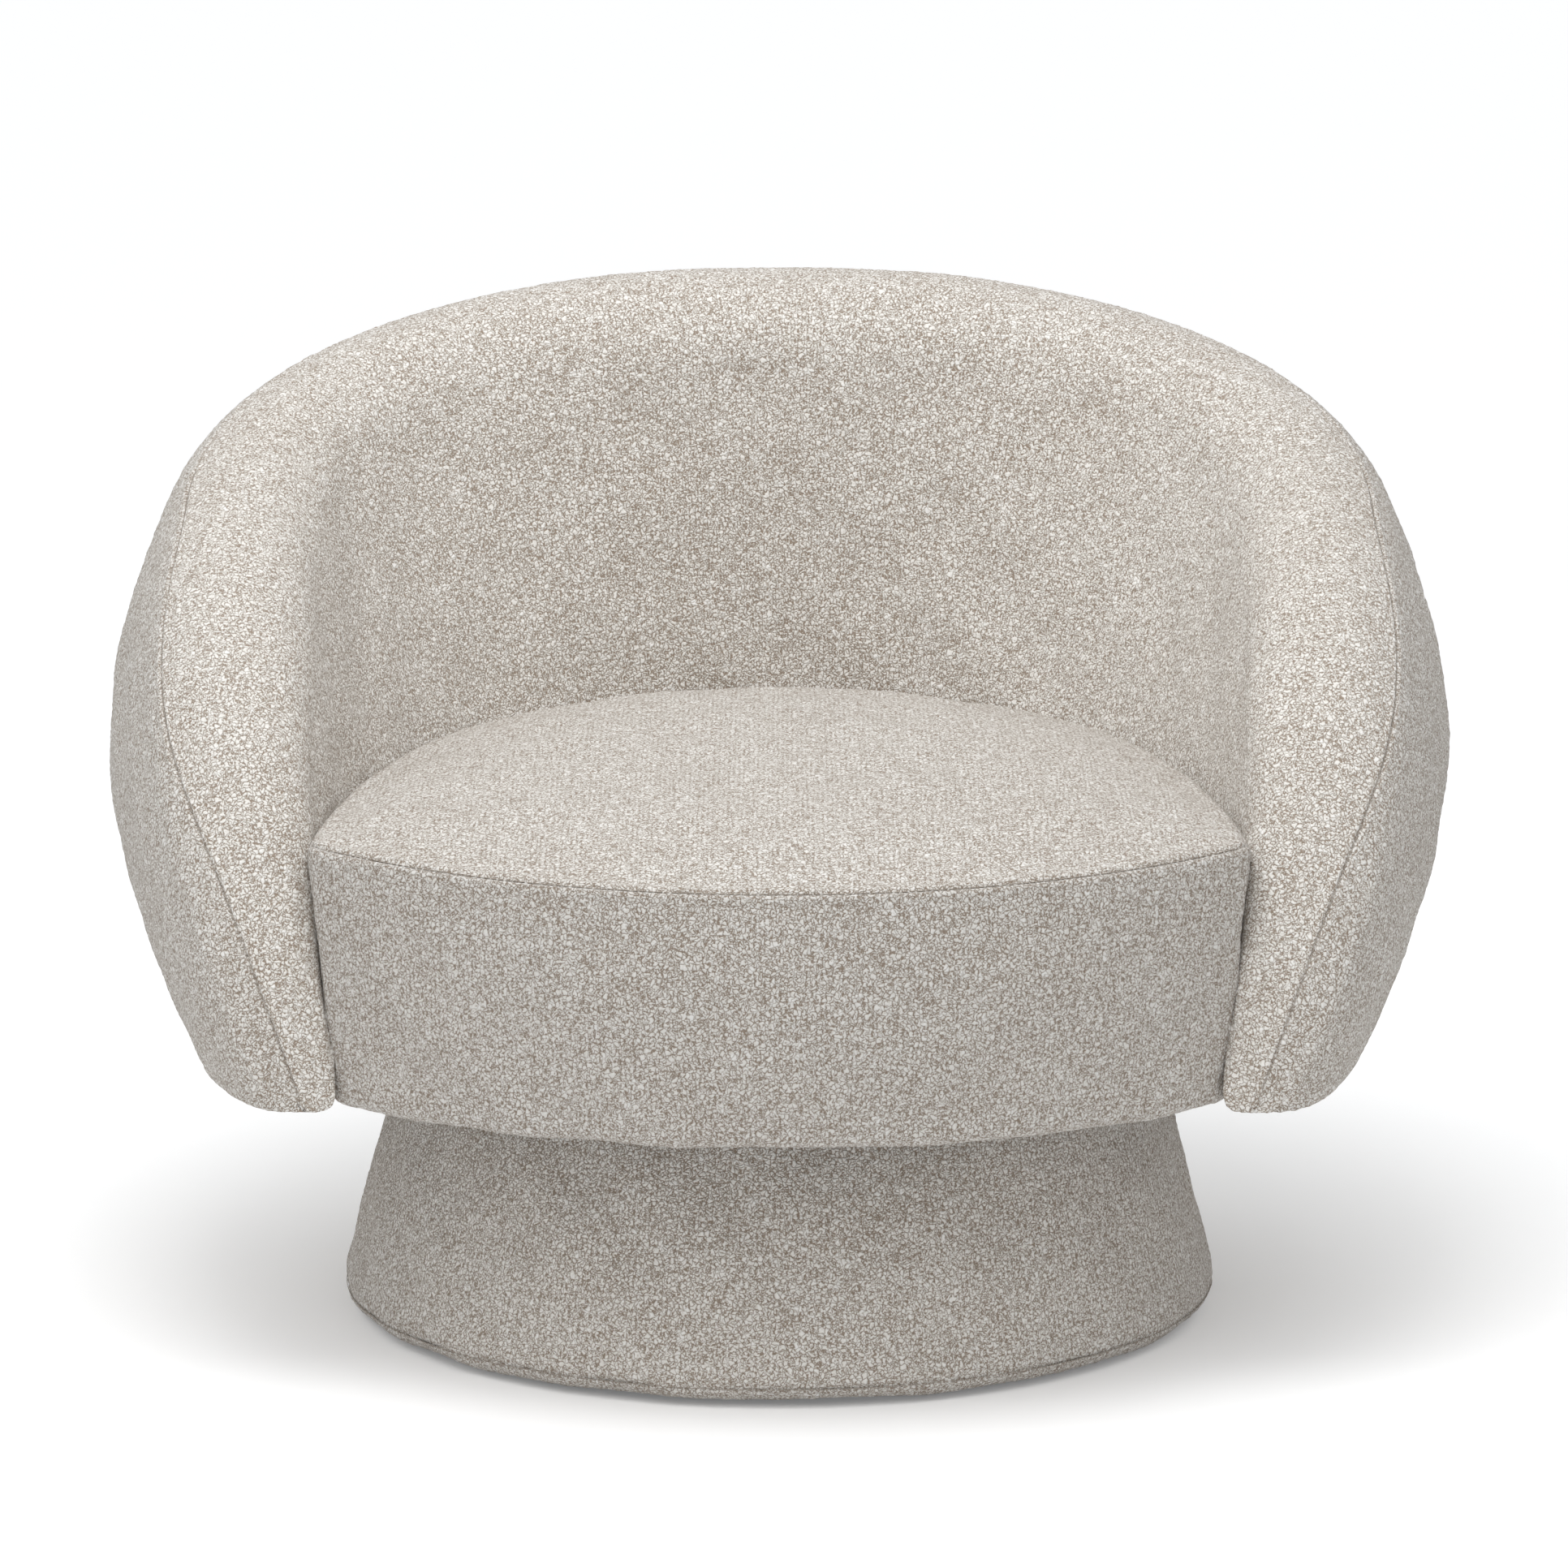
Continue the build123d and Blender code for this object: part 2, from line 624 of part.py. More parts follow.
def straps(base, across):
    """Layer of webbing on the rails, along Y or across."""
    span = 2 * SIDE_REACH
    with BuildPart() as layer:
        with BuildSketch(Plane.XY.offset(base)):
            shift = SEAT_CENTRE_Y if across else 0
            step = (0, STRAP_PITCH) if across else (STRAP_PITCH, 0)
            for index in range(STRAP_COUNT):
                place = index - (STRAP_COUNT - 1) / 2
                with Locations((step[0] * place, step[1] * place + shift)):
                    Rectangle(span if across else STRAP, STRAP if across else span)
            add(foot_plan(FRONT_PAD + STRAP_BACK), mode=Mode.INTERSECT)
        extrude(amount=STRAP_THICK)
    return layer.part


with BuildPart() as seat_webbing_long:
    add(straps(RAIL_TOP, False))
save(seat_webbing_long.part, "seat_webbing_long")

with BuildPart() as seat_webbing_cross:
    add(straps(RAIL_TOP + STRAP_THICK, True))
save(seat_webbing_cross.part, "seat_webbing_cross")

seat_outer = seat_form(0)
seat_inner = seat_form(COVER)
seat_core = seat_form(FOAM_OUT)

with BuildPart() as board_space:
    with BuildSketch(Plane.XY.offset(UNDERSIDE - SEAT_FOOT_R)):
        add(tub_plan(-FIT))
    extrude(amount=BOARD_TOP + FIT - UNDERSIDE + SEAT_FOOT_R)

with BuildPart() as seat_top_cover:
    add(seat_outer)
    add(seat_inner, mode=Mode.SUBTRACT)
    split(bisect_by=tilted(SEAM_LEVEL), keep=Keep.TOP)
save(seat_top_cover.part, "seat_top_cover")

with BuildPart() as seat_border_cover:
    add(seat_outer)
    add(seat_inner, mode=Mode.SUBTRACT)
    split(bisect_by=tilted(SEAM_LEVEL), keep=Keep.BOTTOM)
    add(board_space.part, mode=Mode.SUBTRACT)
save(seat_border_cover.part, "seat_border_cover")

with BuildPart() as seat_foam:
    add(seat_core)
    split(bisect_by=Plane.XY.offset(WEB_TOP), keep=Keep.TOP)
save(seat_foam.part, "seat_foam")

with BuildPart() as seat_front_foam:
    add(seat_core)
    split(bisect_by=Plane.XY.offset(WEB_TOP - FIT), keep=Keep.BOTTOM)
    split(bisect_by=Plane.XZ.offset(-FRONT_RAIL_Y), keep=Keep.TOP)
    with BuildSketch(Plane.XY.offset(UNDERSIDE)):
        add(foot_plan(FRONT_PAD))
    extrude(amount=WEB_TOP - UNDERSIDE, mode=Mode.SUBTRACT)
    add(board_space.part, mode=Mode.SUBTRACT)
save(seat_front_foam.part, "seat_front_foam")


# Round base
def base_r(height, inset=0.0):
    """Radius of the flared side at a height."""
    return BASE_FOOT_R - BASE_FLARE * height - inset


def base_band(low, high, near, far):
    """Half cut of a flared band between two heights and two depths."""
    with BuildSketch(Plane.XZ) as band:
        with BuildLine():
            Polyline(
                (base_r(low, near), low),
                (base_r(high, near), high),
                (base_r(high, far), high),
                (base_r(low, far), low),
                close=True,
            )
        make_face()
    return band.sketch


def base_disc(low, high, inset, bore):
    """Half cut of a disc or ring whose edge follows the flared side."""
    with BuildSketch(Plane.XZ) as disc:
        with BuildLine():
            Polyline(
                (bore, low),
                (base_r(low, inset), low),
                (base_r(high, inset), high),
                (bore, high),
                close=True,
            )
        make_face()
    return disc.sketch


SHELL_OUT = BASE_COVER + BASE_PAD + FIT
SHELL_IN = SHELL_OUT + BASE_SHELL
BASE_FRAME = SHELL_IN + FIT
RING_BOTTOM = BASE_FLOOR + BASE_COVER
RING_TOP = RING_BOTTOM + BOARD
RING_BORE = base_r(RING_BOTTOM, BASE_FRAME) - RING_WIDTH
TOP_BOARD_BOTTOM = BASE_INSIDE_TOP - BOARD


def rounded_base(inset):
    """Half cut of the whole base, with its rounded foot and upper edge."""
    low = BASE_FLOOR + inset
    high = BASE_TOP - inset
    with BuildSketch(Plane.XZ) as half:
        with BuildLine():
            Polyline(
                (0, low),
                (base_r(low, inset), low),
                (base_r(high, inset), high),
                (0, high),
                close=True,
            )
        make_face()
        corners = half.vertices().sort_by(Axis.X)[-2:].sort_by(Axis.Z)
        fillet(corners[0], BASE_FOOT_ROUND - inset)
        fillet(half.vertices().group_by(Axis.Z)[-1].sort_by(Axis.X)[-1], BASE_TOP_ROUND - inset)
    return half.sketch


with BuildPart() as base_cover:
    with BuildSketch(Plane.XZ):
        add(rounded_base(0))
        add(rounded_base(BASE_COVER), mode=Mode.SUBTRACT)
        with Locations((0, BASE_TOP)):
            Rectangle(2 * (base_r(BASE_TOP) - BASE_TURN_IN), BOARD, mode=Mode.SUBTRACT)
        with Locations((0, BASE_FLOOR)):
            Rectangle(2 * (base_r(BASE_FLOOR) - 2 * BASE_TURN_IN), BOARD, mode=Mode.SUBTRACT)
    revolve(axis=Axis.Z)
save(base_cover.part, "base_cover")

# The hem is a band sewn on along the foot
with BuildPart() as base_hem_band:
    with BuildSketch(Plane.XZ):
        add(rounded_base(-FIT - HEM_THICK))
        add(rounded_base(-FIT), mode=Mode.SUBTRACT)
        hem_top = BASE_FLOOR + HEM
        add(base_disc(0, hem_top, -BOARD, base_r(0) - BASE_FOOT_ROUND), mode=Mode.INTERSECT)
    revolve(axis=Axis.Z)
save(base_hem_band.part, "base_hem_band")

with BuildPart() as base_padding:
    with BuildSketch(Plane.XZ):
        add(rounded_base(BASE_COVER + FIT))
        add(base_disc(0, BASE_TOP, SHELL_OUT - FIT, 0), mode=Mode.SUBTRACT)
    revolve(axis=Axis.Z)
save(base_padding.part, "base_padding")

with BuildPart() as base_shell:
    with BuildSketch(Plane.XZ):
        add(base_band(BASE_FLOOR + BASE_FOOT_ROUND, BASE_INSIDE_TOP - FIT, SHELL_OUT, SHELL_IN))
    revolve(axis=Axis.Z)
save(base_shell.part, "base_shell")

# Frame of the base: a bottom ring, upright ribs and a top board
with BuildPart() as base_bottom_ring:
    with BuildSketch(Plane.XZ):
        add(base_disc(RING_BOTTOM, RING_TOP, BASE_FRAME, RING_BORE))
    revolve(axis=Axis.Z)
save(base_bottom_ring.part, "base_bottom_ring")

with BuildPart() as base_ribs:
    for index in range(BASE_RIB_COUNT):
        with BuildSketch(upright(0, 360 * (index + 0.5) / BASE_RIB_COUNT)):
            with BuildLine():
                Polyline(
                    (base_r(RING_TOP, BASE_FRAME) - BASE_RIB_WIDTH, RING_TOP),
                    (base_r(RING_TOP, BASE_FRAME), RING_TOP),
                    (base_r(TOP_BOARD_BOTTOM, BASE_FRAME), TOP_BOARD_BOTTOM),
                    (base_r(TOP_BOARD_BOTTOM, BASE_FRAME) - BASE_RIB_WIDTH, TOP_BOARD_BOTTOM),
                    close=True,
                )
            make_face()
        extrude(amount=BASE_RIB / 2, both=True)
    with BuildSketch(Plane.XZ):
        add(base_disc(RING_TOP, TOP_BOARD_BOTTOM, BASE_FRAME, 0))
    revolve(axis=Axis.Z, mode=Mode.INTERSECT)
save(base_ribs.part, "base_ribs")

with BuildPart() as base_top_board:
    with BuildSketch(Plane.XZ):
        add(base_disc(TOP_BOARD_BOTTOM, BASE_INSIDE_TOP, BASE_FRAME, 0))
    revolve(axis=Axis.Z)
    with Locations((0, 0, BASE_INSIDE_TOP)):
        CounterBoreHole(PIVOT_R + FIT, PIVOT_FLANGE_R + FIT, PIVOT_FLANGE)
    with Locations(Plane.XY.offset(BASE_INSIDE_TOP)):
        with PolarLocations(BOLT_CIRCLE_R, BOLT_COUNT):
            Hole(BOLT_R)
save(base_top_board.part, "base_top_board")

with BuildPart() as base_dust_cover:
    with BuildSketch(Plane.XY.offset(GLIDE_HEIGHT)):
        Circle(base_r(BASE_FLOOR) - BASE_TURN_IN)
    extrude(amount=DUST_COVER)
save(base_dust_cover.part, "base_dust_cover")

with BuildPart() as glides:
    with BuildSketch():
        with PolarLocations(GLIDE_CIRCLE_R, GLIDE_COUNT):
            Circle(GLIDE_R)
    extrude(amount=GLIDE_HEIGHT)
    chamfer(glides.edges().group_by(Axis.Z)[0], GLIDE_HEIGHT / 4)
save(glides.part, "glides")

# Swivel: two pressed plates with a ring of balls between their races, and a centre pivot
LOWER_PLATE_TOP = BASE_INSIDE_TOP + PLATE
UPPER_PLATE_BOTTOM = PLATE_TOP - PLATE
BALL_Z = (LOWER_PLATE_TOP + UPPER_PLATE_BOTTOM) / 2
RACE_LOW = BALL_Z - RACE_GAP / 2
RACE_HIGH = BALL_Z + RACE_GAP / 2


def swivel_plate(low, high, race_low, race_high, bore, first_bolt):
    """Plate with a raised, grooved race for the balls."""
    with BuildPart() as plate:
        with BuildSketch(Plane.XZ):
            with BuildLine():
                Polyline((bore, low), (PLATE_R, low), (PLATE_R, high), (bore, high), close=True)
            make_face()
            with BuildLine():
                Polyline(
                    (RACE_R - RACE_WIDTH / 2, race_low),
                    (RACE_R + RACE_WIDTH / 2, race_low),
                    (RACE_R + RACE_WIDTH / 2, race_high),
                    (RACE_R - RACE_WIDTH / 2, race_high),
                    close=True,
                )
            make_face()
            with Locations((RACE_R, BALL_Z)):
                Circle(BALL_R + FIT, mode=Mode.SUBTRACT)
        revolve(axis=Axis.Z)
        with Locations(Plane.XY.offset(high)):
            with PolarLocations(BOLT_CIRCLE_R, BOLT_COUNT, start_angle=first_bolt):
                Hole(BOLT_R)
    return plate.part


with BuildPart() as swivel_lower_plate:
    add(swivel_plate(BASE_INSIDE_TOP, LOWER_PLATE_TOP, LOWER_PLATE_TOP, RACE_LOW, PIVOT_R + FIT, 0))
save(swivel_lower_plate.part, "swivel_lower_plate")

with BuildPart() as swivel_upper_plate:
    add(
        swivel_plate(
            UPPER_PLATE_BOTTOM,
            PLATE_TOP,
            RACE_HIGH,
            UPPER_PLATE_BOTTOM,
            PIVOT_R + PIVOT_RUN,
            UPPER_BOLT_ANGLE,
        )
    )
save(swivel_upper_plate.part, "swivel_upper_plate")

with BuildPart() as swivel_balls:
    with Locations((0, 0, BALL_Z)):
        with PolarLocations(RACE_R, BALL_COUNT):
            Sphere(BALL_R)
save(swivel_balls.part, "swivel_balls")

with BuildPart() as swivel_ball_cage:
    with BuildSketch(Plane.XY.offset(BALL_Z - CAGE / 2)):
        Circle(RACE_R + RACE_WIDTH / 2)
        Circle(RACE_R - RACE_WIDTH / 2, mode=Mode.SUBTRACT)
        with PolarLocations(RACE_R, BALL_COUNT):
            Circle(BALL_R + FIT, mode=Mode.SUBTRACT)
    extrude(amount=CAGE)
save(swivel_ball_cage.part, "swivel_ball_cage")

with BuildPart() as swivel_pivot:
    with BuildSketch(Plane.XY.offset(BASE_INSIDE_TOP - PIVOT_FLANGE)):
        Circle(PIVOT_FLANGE_R)
    extrude(amount=PIVOT_FLANGE)
    with BuildSketch(Plane.XY.offset(BASE_INSIDE_TOP)):
        Circle(PIVOT_R)
    extrude(amount=PLATE_TOP + FIT + PIVOT_NUT - BASE_INSIDE_TOP)
    chamfer(swivel_pivot.edges().group_by(Axis.Z)[-1], PIVOT_R / 8)
save(swivel_pivot.part, "swivel_pivot")

with BuildPart() as swivel_pivot_nut:
    with BuildSketch(Plane.XY.offset(PLATE_TOP + FIT)):
        RegularPolygon(PIVOT_NUT_R, 6)
        Circle(PIVOT_R, mode=Mode.SUBTRACT)
    extrude(amount=PIVOT_NUT)
save(swivel_pivot_nut.part, "swivel_pivot_nut")


def bolts(head_base, head_up, shank_end, first_bolt):
    """Ring of bolts: flat heads between the plates, shanks away from them."""
    away = 1 if head_up else -1
    with BuildPart() as ring:
        with BuildSketch(Plane.XY.offset(head_base)):
            with PolarLocations(BOLT_CIRCLE_R, BOLT_COUNT, start_angle=first_bolt):
                Circle(BOLT_HEAD_R)
        extrude(amount=away * BOLT_HEAD)
        with BuildSketch(Plane.XY.offset(head_base)):
            with PolarLocations(BOLT_CIRCLE_R, BOLT_COUNT, start_angle=first_bolt):
                Circle(BOLT_R)
        extrude(amount=shank_end - head_base)
    return ring.part


def nuts(base, first_bolt):
    """Ring of hexagon nuts round the bolts' shanks."""
    with BuildPart() as ring:
        with BuildSketch(Plane.XY.offset(base)):
            with PolarLocations(BOLT_CIRCLE_R, BOLT_COUNT, start_angle=first_bolt):
                RegularPolygon(BOLT_HEAD_R, 6)
                Circle(BOLT_R, mode=Mode.SUBTRACT)
        extrude(amount=BOLT_NUT)
    return ring.part


with BuildPart() as base_bolts:
    add(bolts(LOWER_PLATE_TOP, True, TOP_BOARD_BOTTOM - BOLT_NUT, 0))
save(base_bolts.part, "base_bolts")

with BuildPart() as base_nuts:
    add(nuts(TOP_BOARD_BOTTOM - BOLT_NUT, 0))
save(base_nuts.part, "base_nuts")

with BuildPart() as seat_bolts:
    add(bolts(UPPER_PLATE_BOTTOM, False, BOARD_TOP + BOLT_NUT, UPPER_BOLT_ANGLE))
save(seat_bolts.part, "seat_bolts")

with BuildPart() as seat_nuts:
    add(nuts(BOARD_TOP, UPPER_BOLT_ANGLE))
save(seat_nuts.part, "seat_nuts")
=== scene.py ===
import math
from dataclasses import dataclass, replace

import bmesh
import bpy
import numpy as np
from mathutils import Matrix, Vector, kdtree


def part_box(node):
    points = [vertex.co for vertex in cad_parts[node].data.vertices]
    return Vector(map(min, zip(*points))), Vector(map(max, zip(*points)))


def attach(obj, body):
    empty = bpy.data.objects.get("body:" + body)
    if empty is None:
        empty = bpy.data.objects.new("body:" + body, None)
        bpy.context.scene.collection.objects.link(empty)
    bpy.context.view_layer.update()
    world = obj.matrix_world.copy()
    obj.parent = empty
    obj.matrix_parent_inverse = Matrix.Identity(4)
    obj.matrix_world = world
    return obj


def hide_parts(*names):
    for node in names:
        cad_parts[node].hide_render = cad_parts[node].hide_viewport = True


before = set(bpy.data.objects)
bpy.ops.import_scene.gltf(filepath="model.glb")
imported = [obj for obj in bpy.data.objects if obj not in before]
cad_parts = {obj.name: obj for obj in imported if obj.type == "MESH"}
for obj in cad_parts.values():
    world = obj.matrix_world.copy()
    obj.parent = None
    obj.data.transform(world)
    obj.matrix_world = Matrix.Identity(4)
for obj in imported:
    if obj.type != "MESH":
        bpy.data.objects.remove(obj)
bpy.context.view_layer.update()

# Sizes in metres. The chair faces -Y and turns about Z.

# Places that come from the frame
tub_low, tub_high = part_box("back_outer_cover")
ARM_TIP_Y = tub_low.y
UNDERSIDE = tub_low.z
SIDE_REACH = tub_high.x
BACK_REACH = tub_high.y
BACK_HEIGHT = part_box("back_inner_cover")[1].z
SEAT_FRONT = -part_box("seat_border_cover")[0].y
WEB_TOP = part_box("seat_webbing_cross")[1].z
BASE_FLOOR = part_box("base_cover")[0].z
BASE_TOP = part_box("base_cover")[1].z
SWIVEL_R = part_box("swivel_upper_plate")[1].x

# Plan and crest line of the tub
ROUND_Y = 0.020             # centre that the round back is drawn about
PLAN_POWER = 2.4            # squareness of the plan: 2 is an ellipse
SIDE_HEIGHT = 0.555
CREST_FALL = 1.37           # how the crest falls from the back to the sides
ARM_TOP_Y = 0.300
ARM_FOOT_HEIGHT = 0.200
ARM_END = 0.001             # the crest's arc ends this far past the tip
ARM_POWER = 2.7             # how late an arm narrows to its tip

# Upright cut through the tub at the back, at the side and at the arm's tip
BACK_FOOT_IN, SIDE_FOOT_IN, TIP_FOOT_IN = 0.175, 0.292, 0.287
BACK_FOOT_OUT, SIDE_FOOT_OUT, TIP_FOOT_OUT = 0.290, 0.385, 0.325
BACK_CREST_R, SIDE_CREST_R, TIP_CREST_R = 0.066, 0.058, 0.019
BACK_SWELL = 0.020
BACK_CREST_X = BACK_REACH - ROUND_Y - BACK_SWELL - BACK_CREST_R
SIDE_CREST_X, TIP_CREST_X = 0.367, 0.306
SEAM_BACK = math.radians(66)        # the seam's place on the crest circle, above level
SEAM_SIDE = math.radians(52)
SEAM_ARM = math.radians(34)         # where it lies furthest out on an arm
SEAM_ARM_AT = 0.55                  # share of the arm at which it does so
SEAM_BACK_FROM = 0.42               # sine of the angle from which the back's place holds
SEAM_LEAN = math.radians(20)        # lean of its straight end, seen from the front
FOOT_ROUND = 0.36           # rounding of the lower outer edge, per crest radius
FOAM_DEPTH = 0.5            # foam, per crest radius
TURN_UNDER = 0.022          # outer cover drawn under the tub
INNER_ROUND = 0.010         # rounding of the lower inner edge
NOSE = 0.0015               # how far the arm's nose rounds out past its last cut
HIDDEN_SHARES = np.array([0.92, 0.6, 0.3, 0.0])    # points of the hidden side, from foot to seam

# Seat
SEAT_PRESS = 0.001          # how far seat and tub press into each other
SEAT_EDGE = 0.3788
SEAT_SLOPE = 0.056
SEAT_CROWN = 0.022          # before the filling swells it
SEAT_FOOT_R = 0.010
SEAT_EDGE_R = 0.012
SEAT_BULGE = 0.007
SEAT_FRONT_X = 0.2892
SEAT_FRONT_FLARE = 0.08
SEAT_CORNER_Y = 0.012
SEAT_CENTRE_Y = -0.060
SEAT_ROUND_X = 0.305        # the seat is a half ellipse in plan behind its front corners
SEAT_ROUND_Y = 0.458
SEAT_ROUND_AT = -0.250
FULLEST = 0.345             # height at which the tub's foam bulges most towards the seat
FULLEST_SHARE = 0.7         # on a low arm it lies at this share of the way up to the crest
FULLNESS_BLEND = 0.008
SEAT_SEAM = 1.7             # the seat's seam is deeper than the others
SEAT_SWELL = 0.009          # most that the filling lifts the cover
BORDER = 0.003              # border cover over the seat's own foam
FRONT_PAD = 0.024           # border with its foam in front of the rail
PLAN_FRONT = SEAT_FRONT - SEAT_BULGE
SHOULDER = SEAT_EDGE - SEAT_EDGE_R
SEAT_FOOT = UNDERSIDE + SEAT_FOOT_R
SEAM_TURN = math.pi / 4     # place of the seat's seam on its rounded edge, above level
CORNER_PASSES = 4           # times that the plan's corners are smoothed
UNDER_SHARES = (0, 0.35, 0.7, 0.98)     # rings of the foam's underside

# Cloth simulation of the seat's cover
CLOTH_STEP = 4              # one column in so many goes into the coarse cloth
CLOTH_GRAIN = 0.006
CLOTH_HELD = SEAT_EDGE - SEAT_EDGE_R / 3    # the cover is held below this level
CLOTH_PRESSURE = 4.0
CLOTH_FRAMES = 20
CLOTH_NEIGHBOURS = 6        # coarse points that carry one fine point
CLOTH_BLEND = 0.002         # evens out their weights

# Round base
BASE_FOOT_R = 0.304
BASE_FLARE = 0.268
BASE_FOOT_ROUND = 0.016
BASE_TOP_ROUND = 0.006
BASE_PAD = 0.010
BASE_TURN_IN = 0.022
HEM = 0.009
HEM_THICK = 0.0015
HEM_TOP = BASE_FLOOR + HEM
NO_SEAM = 2 * BASE_TOP      # height above the base, so that no seam falls on it

# Seams and fabric
CREASE = 0.0011             # depth of a seam
CREASE_WIDTH = 0.0011
RIDGE = 0.0006              # seam allowance that lifts the cover beside a seam
RIDGE_AT = 0.0034
RIDGE_WIDTH = 0.0020
SEAM_CLEAR = 3 * CREASE_WIDTH   # distance from a seam at which the loops have their full height
SEAM_NUBS = 0.4             # share of their height left in the seam
STITCH = 0.0034
STITCH_PITCH = 0.0050
STITCH_R = 0.00035
STITCH_SIDES = 6
STITCH_RINGS = ((-0.5, 0.45), (-0.3, 1.0), (0.3, 1.0), (0.5, 0.45))     # place and fullness
SEAM_DROP = 0.018           # the seat's seam sinks between seat and tub along the sides
SEAM_TURN_IN = 0.045        # length over which it does so
SEAM_FADE = 3 * SEAM_DROP   # depth of the border that sinks with it
NUB = 0.0045                # size of the fabric's loops
NUB_HEIGHT = 0.0011
NUB_LEVEL = 0.55            # distance from a loop's middle that stays on the form, in loops
LOOP = 0.0029               # finer loops of the fabric
COLUMN_PITCH = 0.0032       # columns of the weave
PUCKER = 0.085              # size of the slow unevenness of the cover
PUCKER_HEIGHT = 0.0016
PUCKER_WAVES = ((1.0, 0.3, 0.6), (-0.5, 1.0, 0.8), (0.7, -0.9, 1.1), (0.2, 1.2, -0.9))
PUCKER_PHASES = (0.4, 1.9, 3.1, 5.2)
CELL_MIXER = ((127.1, 269.5, 419.2), (311.7, 183.3, 371.9), (74.7, 246.1, 119.3))
CELL_SCATTER = 43758.5453   # with the mixer, scatters one point per cell
LINING = 0.0006
RIM_MARGIN = 0.0034         # points of a lining's rim lie at least this far outside its bore
TUCK = 0.004                # lift of the border's and the base cover's turned-under ends

# Fineness of the meshes
ARM_ROWS = 100
BACK_ROWS = 400
NOSE_ROWS = 8
SECTION_ROWS = 165
SEAT_FRONT_COUNT = 210
SEAT_SIDE_COUNT = 16
SEAT_ARM_COUNT = 66
SEAT_ARM_SHARE = 0.80       # share of the arm along which the seat follows its inner face
SEAT_REAR_COUNT = 260
SEAT_TOP_ROWS = 90
SEAT_FACE_ROWS = 58
BASE_COUNT = 640
BASE_SIDE_ROWS = 58
ROUND_ROWS = 8
SEAM_ROWS = (0, 0.0007, 0.0015, 0.0025, 0.0038, 0.0055, 0.0078)
LINING_COUNT = BASE_COUNT // 4
LINING_ROWS = 12
WELD = 1e-6                 # points closer than this are one

# Looks of the fabric and of the pieces inside
LOOP_SWAY = 2.4             # how far the loops curl, in loops
LOOP_EDGE, DOME_EDGE = 0.15, 0.45   # from a loop's edge to its full height and to its crown
LOOP_PART, DOME_PART, FIBRE_PART = 0.40, 0.24, 0.12     # parts of the relief
COLUMN_PART, NUB_PART = 0.05, 0.18
PATCH_PART = 0.08           # slow change of the shade
# Colours by the height of the fabric's relief: the low stops are painted shade in the crevices between
# loops, the high ones painted light on the loop crowns
FABRIC_RELIEF_SHADE_STOPS = (
    (0.10, (144, 129, 114)),
    (0.38, (201, 194, 185)),
    (0.55, (219, 215, 209)),
    (0.85, (233, 231, 228)),
)
DARK_AT, LIGHT_AT = 0.3, 0.7        # where the two tones of the other materials lie
PLY_WAVES = 2100            # radians per metre across the plies
RIB_WAVES = 2600            # radians per metre across the webbing's ribs

# Floor, light and camera
FLOOR_SIZE = 80.0
SKY_LOW, SKY_HIGH = 0.42, 0.95
SKY_AXIS = (-0.10, -0.35, 0.93)     # the light is brightest from here
SKY_COLOUR = (0.98, 0.99, 1.0, 1)
WHITE = (1, 1, 1, 1)
FLOOR_PALE = (0.98, 0.98, 0.98, 1)
FLOOR_BOUNCE = 0.98
FLOOR_GLOW = 0.16           # lifts the floor to white for the camera alone
SUN_STRENGTH = 0.45
SUN_SOFTNESS = math.radians(50)
SUN_TILT = (math.radians(28), math.radians(-12), 0)
LAMP_POWER = 15.0           # wide lamp over the seat and the back
LAMP_SIZE = 1.2
LAMP_PLACE = (-0.15, -0.60, 2.00)
LAMP_TILT = (math.radians(20), math.radians(-5), 0)
CAMERA_PLACE = (0, -4.347, 1.165)
CAMERA_LENS, CAMERA_SENSOR = 149.3, 36   # millimetres
CAMERA_DOWN = math.radians(10.54)
CAMERA_YAW = math.radians(-0.043)


def mix(a, b, share):
    return a + (b - a) * share


def eased(share):
    """Share between 0 and 1 that starts and ends slowly."""
    share = np.clip(share, 0, 1)
    return share**2 * (3 - 2 * share)


# Upright cuts through the tub
def sweep_radius(reach, crest_x, crest_r, height, foot_out):
    """Radius of the outer face that swells to `reach` between its foot and the crest circle."""
    crest_z = height - crest_r
    over_crest = reach - crest_x
    over_foot = reach - foot_out
    share = (over_crest - crest_r) / over_foot
    a = 1 - share
    b = 2 * (share * UNDERSIDE - crest_z)
    c = crest_z**2 - share * UNDERSIDE**2 - crest_r**2 + over_crest**2 - share * over_foot**2
    middle = (-b - math.sqrt(b * b - 4 * a * c)) / (2 * a)
    return (over_foot**2 + (middle - UNDERSIDE) ** 2) / (2 * over_foot)


BACK_SWEEP_R = sweep_radius(BACK_REACH - ROUND_Y, BACK_CREST_X, BACK_CREST_R, BACK_HEIGHT, BACK_FOOT_OUT)
SIDE_SWEEP_R = sweep_radius(SIDE_REACH, SIDE_CREST_X, SIDE_CREST_R, SIDE_HEIGHT, SIDE_FOOT_OUT)


